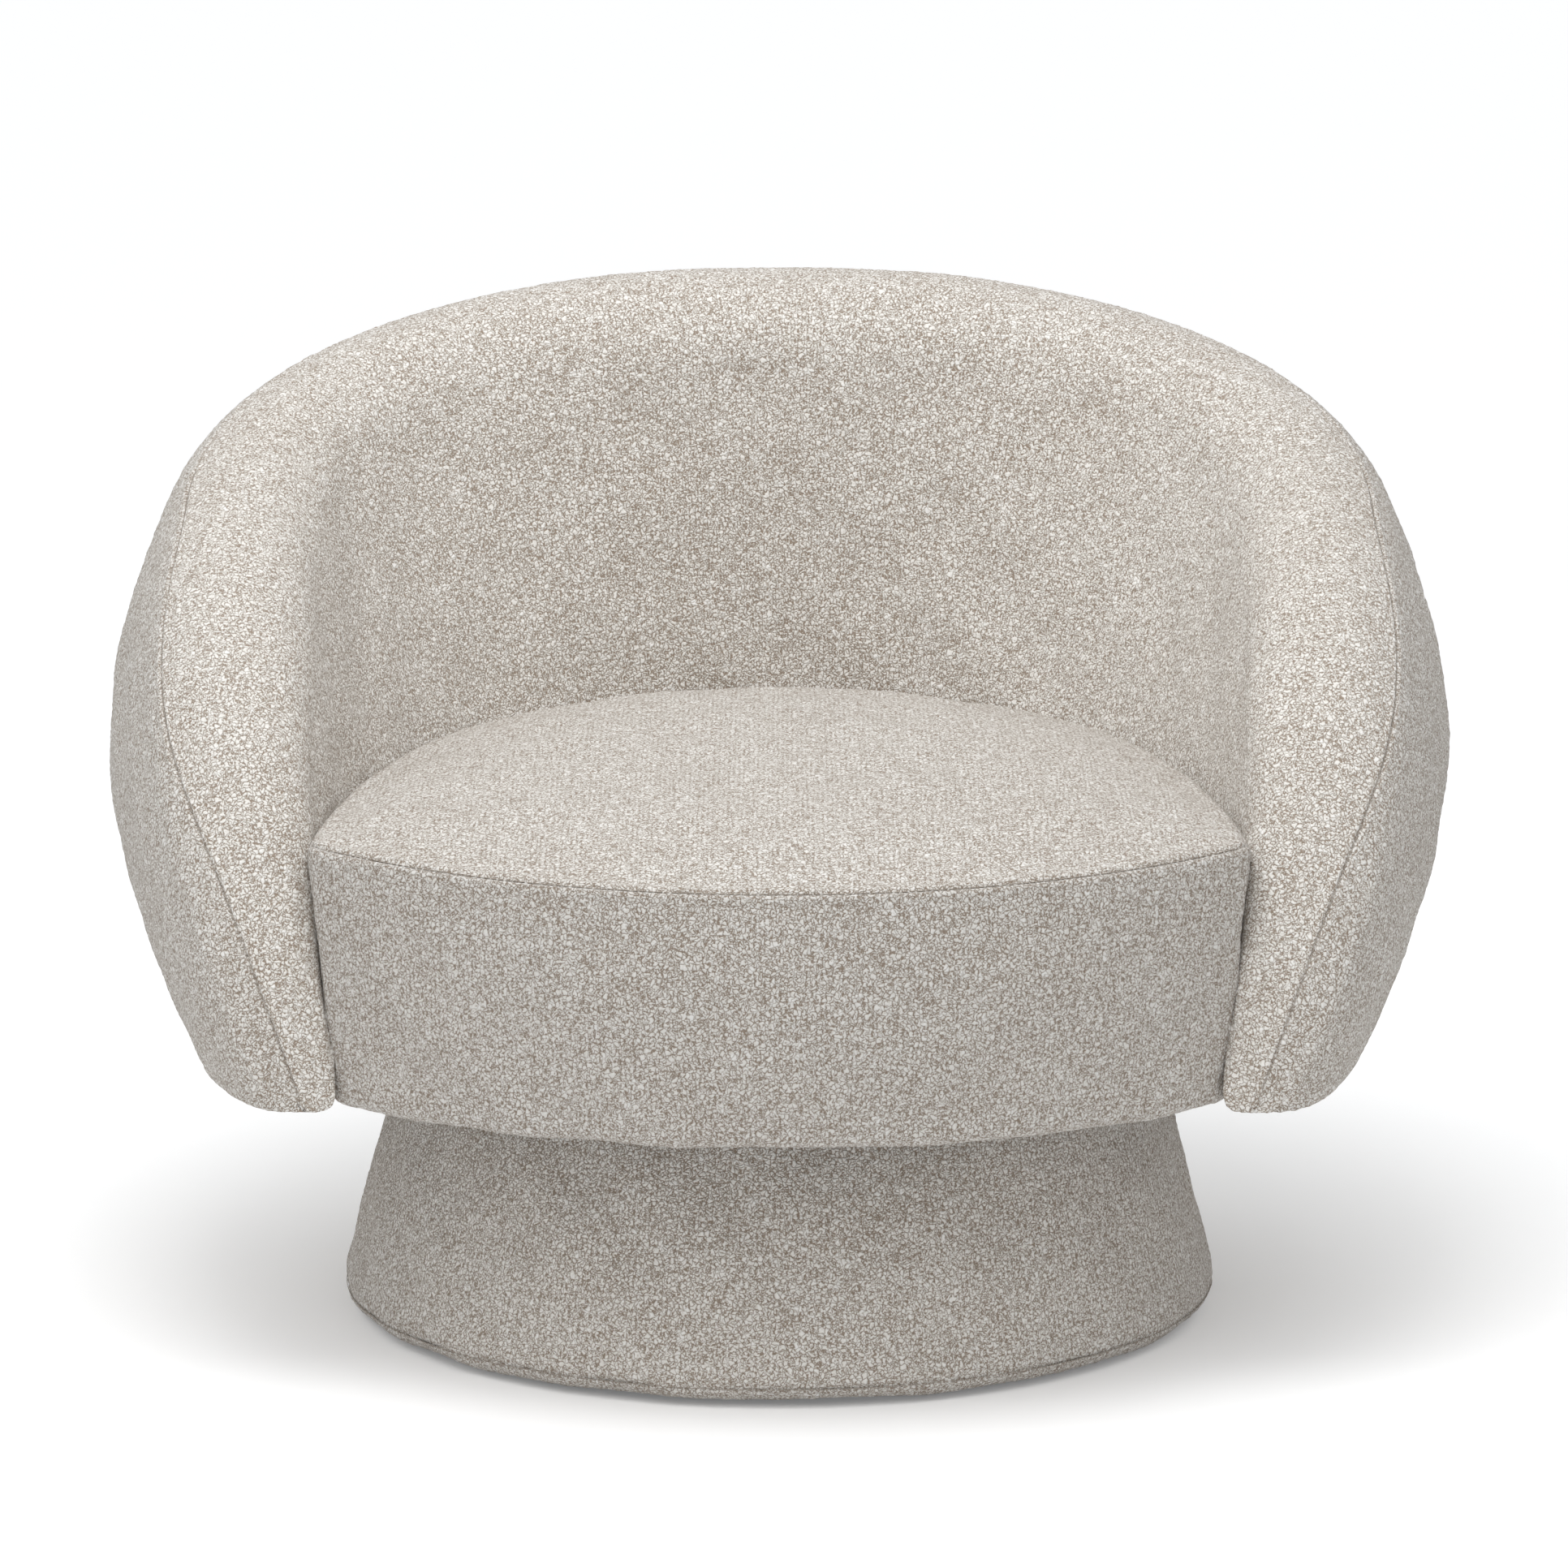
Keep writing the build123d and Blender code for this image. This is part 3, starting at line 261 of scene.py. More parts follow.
@dataclass
class Cut:
    """Upright cut through the tub: it looks outwards from (0, y) at an angle from +X."""

    y: float
    turn: float
    foot_in: float
    foot_out: float
    crest_x: float
    crest_r: float
    height: float
    sweep_r: float
    seam: float
    bulge: float = 0.0

    def __post_init__(self):
        self.crest_z = self.height - self.crest_r
        self.foam = FOAM_DEPTH * self.crest_r
        rise = self.crest_z - UNDERSIDE
        # The inner face is a tangent from the crest circle to its fullest point, then a line to its foot
        steep = self.tangent(self.foot_in, UNDERSIDE)
        self.full_z = min(FULLEST, mix(UNDERSIDE, self.crest_z, FULLEST_SHARE))
        self.full_x = self.foot_in + (self.full_z - UNDERSIDE) / math.tan(steep) - self.bulge
        self.lean = self.tangent(self.full_x, self.full_z)
        self.low_lean = math.atan2(self.full_z - UNDERSIDE, self.full_x - self.foot_in)
        self.over = self.lean + math.pi / 2 - self.seam
        top = self.crest_z + self.crest_r * math.cos(self.lean)
        self.to_full = self.over * self.crest_r + (top - self.full_z) / math.sin(self.lean)
        self.inner_length = self.to_full + (self.full_z - UNDERSIDE) / math.sin(self.low_lean)
        # The outer face passes through its foot and runs into the crest circle
        run = self.crest_x - self.foot_out
        apart = math.hypot(run, rise)
        along = (self.sweep_r**2 - (self.sweep_r - self.crest_r) ** 2 + apart**2) / (2 * apart)
        across = math.sqrt(self.sweep_r**2 - along**2)
        self.sweep_x = self.foot_out + (along * run - across * rise) / apart
        self.sweep_z = UNDERSIDE + (along * rise + across * run) / apart
        self.outer = math.atan2(self.crest_z - self.sweep_z, self.crest_x - self.sweep_x)
        # The lower outer edge is rounded, and the cover runs on under the tub
        self.round_r = FOOT_ROUND * self.crest_r
        self.round_z = UNDERSIDE + self.round_r
        low = self.round_z - self.sweep_z
        run = math.sqrt((self.sweep_r - self.round_r) ** 2 - low**2)
        self.round_x = self.sweep_x + run
        self.low = math.atan2(low, run)
        self.on_crest = (self.seam - self.outer) * self.crest_r
        self.on_sweep = self.on_crest + (self.outer - self.low) * self.sweep_r
        self.on_round = self.on_sweep + (self.low + math.pi / 2) * self.round_r
        self.outer_length = self.on_round + min(TURN_UNDER, self.round_x - self.foot_in)

    def tangent(self, x, z):
        """Lean of the tangent from a point to the crest circle."""
        run, rise = self.crest_x - x, self.crest_z - z
        return math.atan2(rise, run) + math.asin(self.crest_r / math.hypot(run, rise))

    def inner_path(self, along, inset):
        """Points at lengths from the seam over the crest and down the inner face."""
        turn = self.seam + np.minimum(along / self.crest_r, self.over)
        down = np.clip(along, self.over * self.crest_r, self.to_full) - self.over * self.crest_r
        below = np.maximum(along - self.to_full, 0)
        x = self.crest_x + (self.crest_r - inset) * np.cos(turn)
        x -= down * math.cos(self.lean) + below * math.cos(self.low_lean)
        z = self.crest_z + (self.crest_r - inset) * np.sin(turn)
        z -= down * math.sin(self.lean) + below * math.sin(self.low_lean)
        low = np.clip(along - self.inner_length + INNER_ROUND, 0, INNER_ROUND)
        return x + INNER_ROUND - np.sqrt(INNER_ROUND**2 - low**2), z

    def outer_path(self, along, inset):
        """Points at lengths from the seam down the outer face and under the tub."""
        parts = [along < self.on_crest, along < self.on_sweep, along < self.on_round]
        crest = self.seam - along / self.crest_r
        sweep = self.outer - (along - self.on_crest) / self.sweep_r
        foot = self.low - (along - self.on_sweep) / self.round_r
        turn = np.select(parts, [crest, sweep, foot], -math.pi / 2)
        radius = np.select(parts, [self.crest_r, self.sweep_r, self.round_r], self.round_r) - inset
        middle_x = np.select(parts, [self.crest_x, self.sweep_x, self.round_x], self.round_x)
        middle_z = np.select(parts, [self.crest_z, self.sweep_z, self.round_z], self.round_z)
        under = np.maximum(along - self.on_round, 0)
        return middle_x + radius * np.cos(turn) - under, middle_z + radius * np.sin(turn)

    def place(self, x, z):
        """Points of this cut in the chair's frame."""
        return np.stack([x * math.cos(self.turn), self.y + x * math.sin(self.turn), z], axis=-1)

    def inner_reach(self, inset, level, slope):
        """How far out the inner face lies on a plane that rises along Y from `level`."""
        def on_line(lean):
            widen = 1 / math.tan(lean)
            foot = self.full_x + inset - self.full_z * widen
            return (foot + widen * (level + slope * self.y)) / (1 - widen * slope * math.sin(self.turn))

        reach = on_line(self.lean)
        if level + slope * (self.y + reach * math.sin(self.turn)) < self.full_z:
            reach = on_line(self.low_lean)
        return reach


def seat_reach(y, turn):
    """How far the round seat reaches from (0, y) at an angle from +X."""
    ahead = y - SEAT_ROUND_AT
    a = (math.cos(turn) / SEAT_ROUND_X) ** 2 + (math.sin(turn) / SEAT_ROUND_Y) ** 2
    b = 2 * ahead * math.sin(turn) / SEAT_ROUND_Y**2
    c = (ahead / SEAT_ROUND_Y) ** 2 - 1
    return (math.sqrt(b * b - 4 * a * c) - b) / (2 * a)


def fuller(cut):
    """The same cut with its foam bulging in as far as the round seat."""
    over = cut.inner_reach(0, SEAT_EDGE, SEAT_SLOPE) - seat_reach(cut.y, cut.turn)
    return replace(cut, bulge=(over + math.hypot(over, FULLNESS_BLEND)) / 2)


def back_cut(turn):
    """Cut through the round back, at an angle from +X."""
    to_back = math.sin(turn)
    to_side = abs(math.cos(turn))

    def plan(side, back):
        return ((to_side / side) ** PLAN_POWER + (to_back / back) ** PLAN_POWER) ** (-1 / PLAN_POWER)

    return fuller(Cut(
        ROUND_Y,
        turn,
        plan(SIDE_FOOT_IN, BACK_FOOT_IN),
        plan(SIDE_FOOT_OUT, BACK_FOOT_OUT),
        plan(SIDE_CREST_X, BACK_CREST_X),
        mix(SIDE_CREST_R, BACK_CREST_R, to_back),
        BACK_HEIGHT - (BACK_HEIGHT - SIDE_HEIGHT) * (1 - to_back) ** CREST_FALL,
        mix(SIDE_SWEEP_R, BACK_SWEEP_R, to_back),
        mix(SEAM_SIDE, SEAM_BACK, eased(to_back / SEAM_BACK_FROM)),
    ))


def arm_cut(share, turn):
    """Cut through an arm, at a share of the way from the back to its tip."""
    y = mix(ROUND_Y, ARM_TIP_Y, share)
    length = ARM_TOP_Y - ARM_TIP_Y + ARM_END

    def rise(y):
        return math.sqrt(1 - ((ARM_TOP_Y - y) / length) ** 2)

    fullness = math.sqrt(max(1 - share**ARM_POWER, 0))
    crest_x = mix(TIP_CREST_X, SIDE_CREST_X, fullness)
    crest_r = mix(TIP_CREST_R, SIDE_CREST_R, fullness)
    height = mix(ARM_FOOT_HEIGHT, SIDE_HEIGHT, rise(y) / rise(ROUND_Y))
    # The seam's end is straight from the front: it runs to the middle of the nose's lower edge
    rise_to_crest = height - crest_r - UNDERSIDE
    off_line = (crest_x - TIP_CREST_X) * math.cos(SEAM_LEAN) - rise_to_crest * math.sin(SEAM_LEAN)
    straight = math.acos(min(max(-off_line / crest_r, -1), 1)) - SEAM_LEAN
    curved = mix(SEAM_SIDE, SEAM_ARM, eased(share / SEAM_ARM_AT))
    return fuller(Cut(
        y,
        turn,
        mix(TIP_FOOT_IN, SIDE_FOOT_IN, fullness),
        mix(TIP_FOOT_OUT, SIDE_FOOT_OUT, fullness),
        crest_x,
        crest_r,
        height,
        SIDE_SWEEP_R,
        mix(curved, straight, eased((share - SEAM_ARM_AT) / (1 - SEAM_ARM_AT))),
    ))


def tub_cuts():
    """Cuts from the left arm's tip round the back to the right arm's tip."""
    shares = np.sin(np.linspace(0, math.pi / 2, ARM_ROWS + 1))[1:]
    cuts = [arm_cut(share, math.pi) for share in shares[::-1]]
    cuts += [back_cut(turn) for turn in np.linspace(math.pi, 0, BACK_ROWS + 1)]
    return cuts + [arm_cut(share, 0) for share in shares]


def seat_cuts():
    """Cuts beside the seat's right half, from the middle of its rear along the arm."""
    cuts = [back_cut(turn) for turn in np.linspace(math.pi / 2, 0, SEAT_REAR_COUNT // 2)]
    return cuts + [arm_cut(share, 0) for share in np.linspace(0, SEAT_ARM_SHARE, SEAT_ARM_COUNT)[1:]]


CUTS = tub_cuts()
SEAT_CUTS = seat_cuts()


# Meshes from rows of points
def cell_distance(points, size):
    """Distance to the nearest of one random point per cube of a size, in that size."""
    mixer = np.array(CELL_MIXER)
    scaled = points / size
    base = np.floor(scaled)
    nearest = np.full(points.shape[:-1], np.inf)
    for offset in np.ndindex(3, 3, 3):
        cell = base + np.array(offset) - 1
        centre = cell + np.mod(np.sin(cell @ mixer) * CELL_SCATTER, 1.0)
        nearest = np.minimum(nearest, np.linalg.norm(scaled - centre, axis=-1))
    return nearest


def slow_waves(points, size):
    """Slow unevenness between -1 and 1 from a few crossing waves."""
    directions = np.array(PUCKER_WAVES)
    phases = points @ directions.T * (2 * math.pi / size) + np.array(PUCKER_PHASES)
    return np.sin(phases).mean(axis=-1)


def surface_normals(rows, ring):
    """Unit normals of rows of loops, pointing out of the loops."""
    if ring:
        along = np.roll(rows, -1, 0) - np.roll(rows, 1, 0)
    else:
        along = np.gradient(rows, axis=0)
    normals = np.cross(along, np.roll(rows, -1, 1) - np.roll(rows, 1, 1))
    normals /= np.maximum(np.linalg.norm(normals, axis=-1, keepdims=True), 1e-12)
    normals[:, 0] = normals[:, 1]
    outwards = rows - rows.mean(axis=1, keepdims=True)
    return normals * np.sign((normals * outwards).sum())


def seam_depth(distance):
    """How far a cover lies below its form at a distance from a plain seam."""
    crease = CREASE * np.exp(-((distance / CREASE_WIDTH) ** 2))
    return crease - RIDGE * np.exp(-(((distance - RIDGE_AT) / RIDGE_WIDTH) ** 2))


def upholster(rows, distance, shown, ring, seam=1.0):
    """Shape a cover: seams at distance 0, loops of the fabric and slow unevenness."""
    distance = np.broadcast_to(distance, rows.shape[:2])
    shown = np.broadcast_to(shown, rows.shape[:2])
    normals = surface_normals(rows, ring)
    clear = np.clip(distance / SEAM_CLEAR, SEAM_NUBS, 1) * shown
    nubs = (NUB_LEVEL - cell_distance(rows, NUB)) * NUB_HEIGHT
    nubs += (NUB_LEVEL - cell_distance(rows + NUB, 2 * NUB)) * NUB_HEIGHT / 2
    lift = nubs * clear - seam * seam_depth(distance) * shown
    lift += slow_waves(rows, PUCKER) * PUCKER_HEIGHT * np.clip(distance / PUCKER, 0, 1) * shown
    return rows + normals * lift[..., None]


def lengths(rows, axis):
    """Running length along an axis of an array of points."""
    steps = np.linalg.norm(np.diff(rows, axis=axis), axis=-1)
    return np.cumsum(np.insert(steps, 0, 0, axis=axis), axis=axis)


def placed(name, data):
    """New object in the scene."""
    made = bpy.data.objects.new(name, data)
    bpy.context.scene.collection.objects.link(made)
    return made


def grid_piece(name, rows, material, ring, uv=None):
    """Closed mesh from rows of loops. Rows that aren't a ring end in points."""
    count, width = rows.shape[:2]
    wrapped = np.pad(rows, ((0, int(ring)), (0, 1), (0, 0)), mode="wrap")
    if uv is None:
        across = lengths(wrapped[:, :1], 0)
        uv = np.stack([np.broadcast_to(across, wrapped.shape[:2]), lengths(wrapped, 1)], axis=-1)
    first, second = np.meshgrid(np.arange(wrapped.shape[0] - 1), np.arange(width), indexing="ij")
    corners = [(first, second), (first + 1, second), (first + 1, second + 1), (first, second + 1)]
    faces = np.stack([(i % count) * width + j % width for i, j in corners], axis=-1).reshape(-1, 4)
    mesh = bpy.data.meshes.new(name)
    mesh.from_pydata(rows.reshape(-1, 3).tolist(), [], faces.tolist())
    layer = mesh.uv_layers.new(name="cloth")
    layer.data.foreach_set("uv", np.stack([uv[i, j] for i, j in corners], axis=-2).ravel())
    welded = bmesh.new()
    welded.from_mesh(mesh)
    bmesh.ops.remove_doubles(welded, verts=welded.verts, dist=WELD)
    bmesh.ops.recalc_face_normals(welded, faces=welded.faces)
    welded.to_mesh(mesh)
    welded.free()
    mesh.shade_smooth()
    mesh.materials.append(material)
    return placed(name, mesh)


# Procedural materials
def linear(red, green, blue):
    """Scene colour of an 8-bit screen colour."""
    def one(value):
        share = value / 255
        return share / 12.92 if share <= 0.04045 else ((share + 0.055) / 1.055) ** 2.4
    return (one(red), one(green), one(blue), 1)


class Nodes:
    """Short way to write a material's nodes."""

    def __init__(self, name, **settings):
        self.material = bpy.data.materials.new(name)
        self.material.use_nodes = True
        self.tree = self.material.node_tree
        self.shader = self.tree.nodes["Principled BSDF"]
        for socket, value in settings.items():
            self.shader.inputs[socket.replace("_", " ")].default_value = value

    def add(self, kind, inputs=(), **settings):
        node = self.tree.nodes.new("ShaderNode" + kind)
        for key, value in settings.items():
            setattr(node, key, value)
        for socket, value in dict(inputs).items():
            if isinstance(value, bpy.types.NodeSocket):
                self.tree.links.new(value, node.inputs[socket])
            else:
                node.inputs[socket].default_value = value
        return node

    def coordinates(self, output="Object", stretch=(1, 1, 1)):
        source = self.add("TexCoord").outputs[output]
        return self.add("Mapping", {"Vector": source, "Scale": stretch}).outputs["Vector"]

    def noise(self, vector, scale, detail=2.0, distortion=0.0):
        values = {"Vector": vector, "Scale": scale, "Detail": detail, "Distortion": distortion}
        return self.add("TexNoise", values).outputs["Fac"]

    def cells(self, vector, scale):
        values = {"Vector": vector, "Scale": scale, "Smoothness": 0.6}
        return self.add("TexVoronoi", values, feature="SMOOTH_F1").outputs["Distance"]

    def math(self, operation, first, second=0.0):
        return self.add("Math", {0: first, 1: second}, operation=operation).outputs[0]

    def vector(self, operation, first, second):
        socket = "Scale" if operation == "SCALE" else 1
        values = {0: first, socket: second}
        return self.add("VectorMath", values, operation=operation).outputs["Vector"]

    def waves(self, axis, turn, output="Object"):
        """Sine waves along an axis, of so many radians per metre."""
        along = self.add("SeparateXYZ", {0: self.coordinates(output)}).outputs[axis]
        return self.math("SINE", self.math("MULTIPLY", along, turn))

    def uneven(self, value, middle, share):
        """A middle value or pattern with a share of another one added."""
        return self.math("ADD", middle, self.math("MULTIPLY", value, share))

    def summed(self, *layers):
        """Sum of values, each with its share."""
        total = 0.0
        for value, share in layers:
            total = self.add("Math", {0: value, 1: share, 2: total}, operation="MULTIPLY_ADD").outputs[0]
        return total

    def stretched(self, value, low, high):
        """Value eased to run from 0 at `low` to 1 at `high`."""
        values = {"Value": value, "From Min": low, "From Max": high}
        return self.add("MapRange", values, interpolation_type="SMOOTHSTEP").outputs["Result"]

    def ramp(self, value, *stops):
        node = self.add("ValToRGB", {"Fac": value})
        stops_made = node.color_ramp.elements
        for index, (place, colour) in enumerate(stops):
            stop = stops_made[index] if index < 2 else stops_made.new(place)
            stop.position = place
            stop.color = colour
        return node.outputs["Color"]

    def two_tone(self, value, dark, light):
        return self.ramp(value, (DARK_AT, linear(*dark)), (LIGHT_AT, linear(*light)))

    def finish(self, colour, height, strength, depth, roughness=None):
        bump = self.add("Bump", {"Height": height, "Strength": strength, "Distance": depth})
        self.tree.links.new(bump.outputs["Normal"], self.shader.inputs["Normal"])
        self.tree.links.new(colour, self.shader.inputs["Base Color"])
        if roughness is not None:
            self.tree.links.new(roughness, self.shader.inputs["Roughness"])
        return self.material


def boucle(name, painted_brightness):
    """Off-white loop fabric: curled loops in columns, painted shade in the crevices between loops,
    painted light on the loop crowns, and some thicker nubs. A factor for each piece lightens or darkens
    all its colours as painted light or shade.
    """
    nodes = Nodes(name, Roughness=0.95, Sheen_Weight=0.15, Sheen_Roughness=0.6)
    nodes.shader.inputs["Specular IOR Level"].default_value = 0.15
    place = nodes.coordinates()
    sway = nodes.add("TexNoise", {"Vector": place, "Scale": 300, "Detail": 1.5}).outputs["Color"]
    shift = nodes.vector("SCALE", nodes.vector("SUBTRACT", sway, (0.5, 0.5, 0.5)), LOOP * LOOP_SWAY)
    curled = nodes.vector("ADD", place, shift)
    edge = nodes.add("TexVoronoi", {"Vector": curled, "Scale": 1 / LOOP}, feature="DISTANCE_TO_EDGE")
    loops = nodes.stretched(edge.outputs["Distance"], low=0, high=LOOP_EDGE)
    domes = nodes.stretched(edge.outputs["Distance"], low=0, high=DOME_EDGE)
    thick = nodes.stretched(nodes.cells(place, scale=105), low=0.32, high=0.12)
    fibres = nodes.noise(place, scale=1500, detail=1.0)
    columns = nodes.waves("X", 2 * math.pi / COLUMN_PITCH, "UV")
    height = nodes.summed(
        (loops, LOOP_PART), (domes, DOME_PART), (fibres, FIBRE_PART), (columns, COLUMN_PART),
        (thick, NUB_PART),
    )
    patches = nodes.math("SUBTRACT", nodes.noise(place, scale=14), 0.5)
    # The relief's height sets the colour as painted shade in the crevices and painted light on the
    # crowns; the patches add a random tone of the yarn
    shade = nodes.summed((height, 1.0), (patches, PATCH_PART))
    colours = []
    # Each piece's factor scales the stops: above 1 it is painted light, below 1 painted shade
    for at, colour in FABRIC_RELIEF_SHADE_STOPS:
        painted_colour = [min(part * painted_brightness, 1) for part in linear(*colour)[:3]]
        colours.append((at, painted_colour + [1]))
    return nodes.finish(nodes.ramp(shade, *colours), height, strength=0.6, depth=0.0022)


def seam_shade_thread():
    """Sewing yarn, grey-brown and darker than the fabric: painted shade of the seams."""
    nodes = Nodes("seam_shade_thread", Roughness=0.8)
    place = nodes.coordinates()
    strands = nodes.noise(place, scale=2500, detail=1.0)
    colour = nodes.two_tone(strands, (150, 139, 127), (184, 174, 163))
    return nodes.finish(colour, strands, strength=0.3, depth=0.0002)


def plywood():
    """Pale wood with long grain and faint plies."""
    nodes = Nodes("plywood")
    grain = nodes.noise(nodes.coordinates(stretch=(6, 60, 60)), scale=3, detail=5.0, distortion=0.6)
    shade = nodes.uneven(nodes.waves("Z", PLY_WAVES), grain, share=0.07)
    colour = nodes.two_tone(shade, (176, 138, 96), (216, 184, 140))
    rough = nodes.uneven(grain, middle=0.5, share=0.2)
    return nodes.finish(colour, grain, strength=0.15, depth=0.0008, roughness=rough)


def hardboard():
    """Brown pressed board."""
    nodes = Nodes("hardboard", Roughness=0.7)
    fibres = nodes.noise(nodes.coordinates(), scale=420, detail=4.0, distortion=0.4)
    colour = nodes.two_tone(fibres, (104, 76, 52), (140, 108, 78))
    return nodes.finish(colour, fibres, strength=0.2, depth=0.0006)


def zinc_steel():
    """Plated steel of the swivel and the fasteners."""
    nodes = Nodes("zinc_steel", Metallic=1.0)
    spangle = nodes.noise(nodes.coordinates(), scale=160, detail=3.0, distortion=0.5)
    colour = nodes.two_tone(spangle, (158, 160, 164), (196, 198, 202))
    rough = nodes.uneven(spangle, middle=0.28, share=0.2)
    return nodes.finish(colour, spangle, strength=0.05, depth=0.0003, roughness=rough)


def nylon():
    """Dark moulded plastic."""
    nodes = Nodes("nylon", Roughness=0.45)
    grain = nodes.noise(nodes.coordinates(), scale=700, detail=3.0)
    colour = nodes.two_tone(grain, (44, 44, 46), (62, 62, 64))
    return nodes.finish(colour, grain, strength=0.12, depth=0.0003)


def lining():
    """Black dust cloth."""
    nodes = Nodes("black_lining", Roughness=0.9)
    fibres = nodes.noise(nodes.coordinates(), scale=500, detail=4.0, distortion=0.8)
    colour = nodes.two_tone(fibres, (22, 22, 23), (46, 46, 47))
    return nodes.finish(colour, fibres, strength=0.3, depth=0.0006)


def webbing():
    """Dark ribbed straps."""
    nodes = Nodes("webbing", Roughness=0.85)
    weave = nodes.noise(nodes.coordinates(), scale=600)
    shade = nodes.uneven(nodes.waves("X", RIB_WAVES), weave, share=0.15)
    colour = nodes.two_tone(shade, (52, 48, 46), (96, 90, 86))
    return nodes.finish(colour, shade, strength=0.3, depth=0.0008)


# One bouclé in lit and shaded copies: the factors paint light on the inner face and the base, and paint
# shade on the outer face, the seat and most of all the border
INNER_FABRIC = boucle("boucle_inner_painted_light", 1.04)
OUTER_FABRIC = boucle("boucle_outer_painted_shade", 0.95)
SEAT_FABRIC = boucle("boucle_seat_painted_shade", 0.98)
BORDER_FABRIC = boucle("boucle_border_painted_shade", 0.86)
BASE_FABRIC = boucle("boucle_base_painted_light", 1.03)
SEAM_SHADE_THREAD = seam_shade_thread()
LINING_CLOTH = lining()


# Tub
def spread(length):
    """Lengths from a seam: close together beside it, then even."""
    near = np.array(SEAM_ROWS)
    return np.concatenate([near, np.linspace(near[-1], length, SECTION_ROWS + 1)[1:]])


def cover_section(cut, path, shown_length, hidden_length):
    """Loop of a cover with its foam, and the distance of its shown points from the seam."""
    along = spread(shown_length)
    front = cut.place(*path(along, 0))
    back = cut.place(*path(HIDDEN_SHARES * hidden_length, cut.foam))
    return np.concatenate([front, back]), along


def inner_section(cut):
    return cover_section(cut, cut.inner_path, cut.inner_length, cut.inner_length)


def outer_section(cut):
    return cover_section(cut, cut.outer_path, cut.outer_length, cut.on_sweep)


def nose_rows(row, side):
    """Rows that round off the nose of an arm down to a point on its lower edge."""
    pole = np.array([side * TIP_CREST_X, ARM_TIP_Y, UNDERSIDE])
    rows = []
    for turn in np.linspace(0, math.pi / 2, NOSE_ROWS + 1)[1:]:
        scaled = pole + (row - pole) * math.cos(turn)
        rows.append(scaled - np.array([0, NOSE * math.sin(turn), 0]))
    return rows


def tub_piece(name, section, fabric, nodes):
    """Closed cover with its foam, from one arm's nose to the other's."""
    made = [section(cut) for cut in CUTS]
    loops = [loop for loop, _ in made]
    along = [distance for _, distance in made]
    rows = np.array(nose_rows(loops[0], -1)[::-1] + loops + nose_rows(loops[-1], 1))
    visible = np.array([along[0]] * NOSE_ROWS + along + [along[-1]] * NOSE_ROWS)
    hidden = np.ones((len(rows), len(HIDDEN_SHARES)))
    distance = np.concatenate([visible, hidden], axis=1)
    shown = np.concatenate([np.ones_like(visible), 0 * hidden], axis=1)
    shown[0] = shown[-1] = 0
    piece = grid_piece(name, upholster(rows, distance, shown, False), fabric, False)
    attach(piece, "seat")
    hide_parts(*nodes)


def stitches(name, path, outwards, body):
    """Row of short stitches along a path, lying in the seam, in dark yarn that is painted shade of the
    seam.
    """
    run = lengths(path, 0)
    sides, rings = STITCH_SIDES, STITCH_RINGS
    points, faces = [], []

    def at(length, values):
        return np.array([np.interp(length, run, values[:, axis]) for axis in range(3)])

    for middle in np.arange(STITCH_PITCH, run[-1] - STITCH_PITCH, STITCH_PITCH):
        along = at(middle + STITCH / 2, path) - at(middle - STITCH / 2, path)
        along /= np.linalg.norm(along)
        across = np.cross(along, at(middle, outwards))
        across /= np.linalg.norm(across)
        up = np.cross(across, along)
        start = len(points)
        for place, fullness in rings:
            centre = at(middle, path) + along * place * STITCH
            for side in range(sides):
                turn = 2 * math.pi * side / sides
                rim = across * math.cos(turn) + up * math.sin(turn)
                points.append(centre + rim * STITCH_R * fullness)
        for ring in range(len(rings) - 1):
            for side in range(sides):
                a = start + ring * sides + side
                b = start + ring * sides + (side + 1) % sides
                faces.append((a, b, b + sides, a + sides))
        faces.append(tuple(start + side for side in reversed(range(sides))))
        faces.append(tuple(start + (len(rings) - 1) * sides + side for side in range(sides)))
    mesh = bpy.data.meshes.new(name)
    mesh.from_pydata([tuple(point) for point in points], [], faces)
    mesh.shade_smooth()
    mesh.materials.append(SEAM_SHADE_THREAD)
    piece = placed(name, mesh)
    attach(piece, body)


def tub_seam_shade_stitches():
    """Stitches along the seam of the tub and down the noses of the arms, painted shade of the seam."""
    seam = [cut.place(*cut.inner_path(np.zeros(1), CREASE / 2))[0] for cut in CUTS]
    # A point far outside the seam gives the direction there
    far = [cut.place(*cut.inner_path(np.zeros(1), -1.0))[0] for cut in CUTS]
    outwards = [point - start for start, point in zip(seam, far)]
    left, right = nose_rows(seam[0], -1)[::-1], nose_rows(seam[-1], 1)
    ahead = [np.array([0, -1.0, 0])] * NOSE_ROWS
    stitches("tub_seam_shade_stitches", np.array(left + seam + right), np.array(ahead + outwards + ahead), "seat")


tub_piece("tub_inner", inner_section, INNER_FABRIC, ["back_inner_cover", "back_inner_foam"])
tub_piece("tub_outer", outer_section, OUTER_FABRIC, ["back_outer_cover", "back_outer_foam"])
tub_seam_shade_stitches()


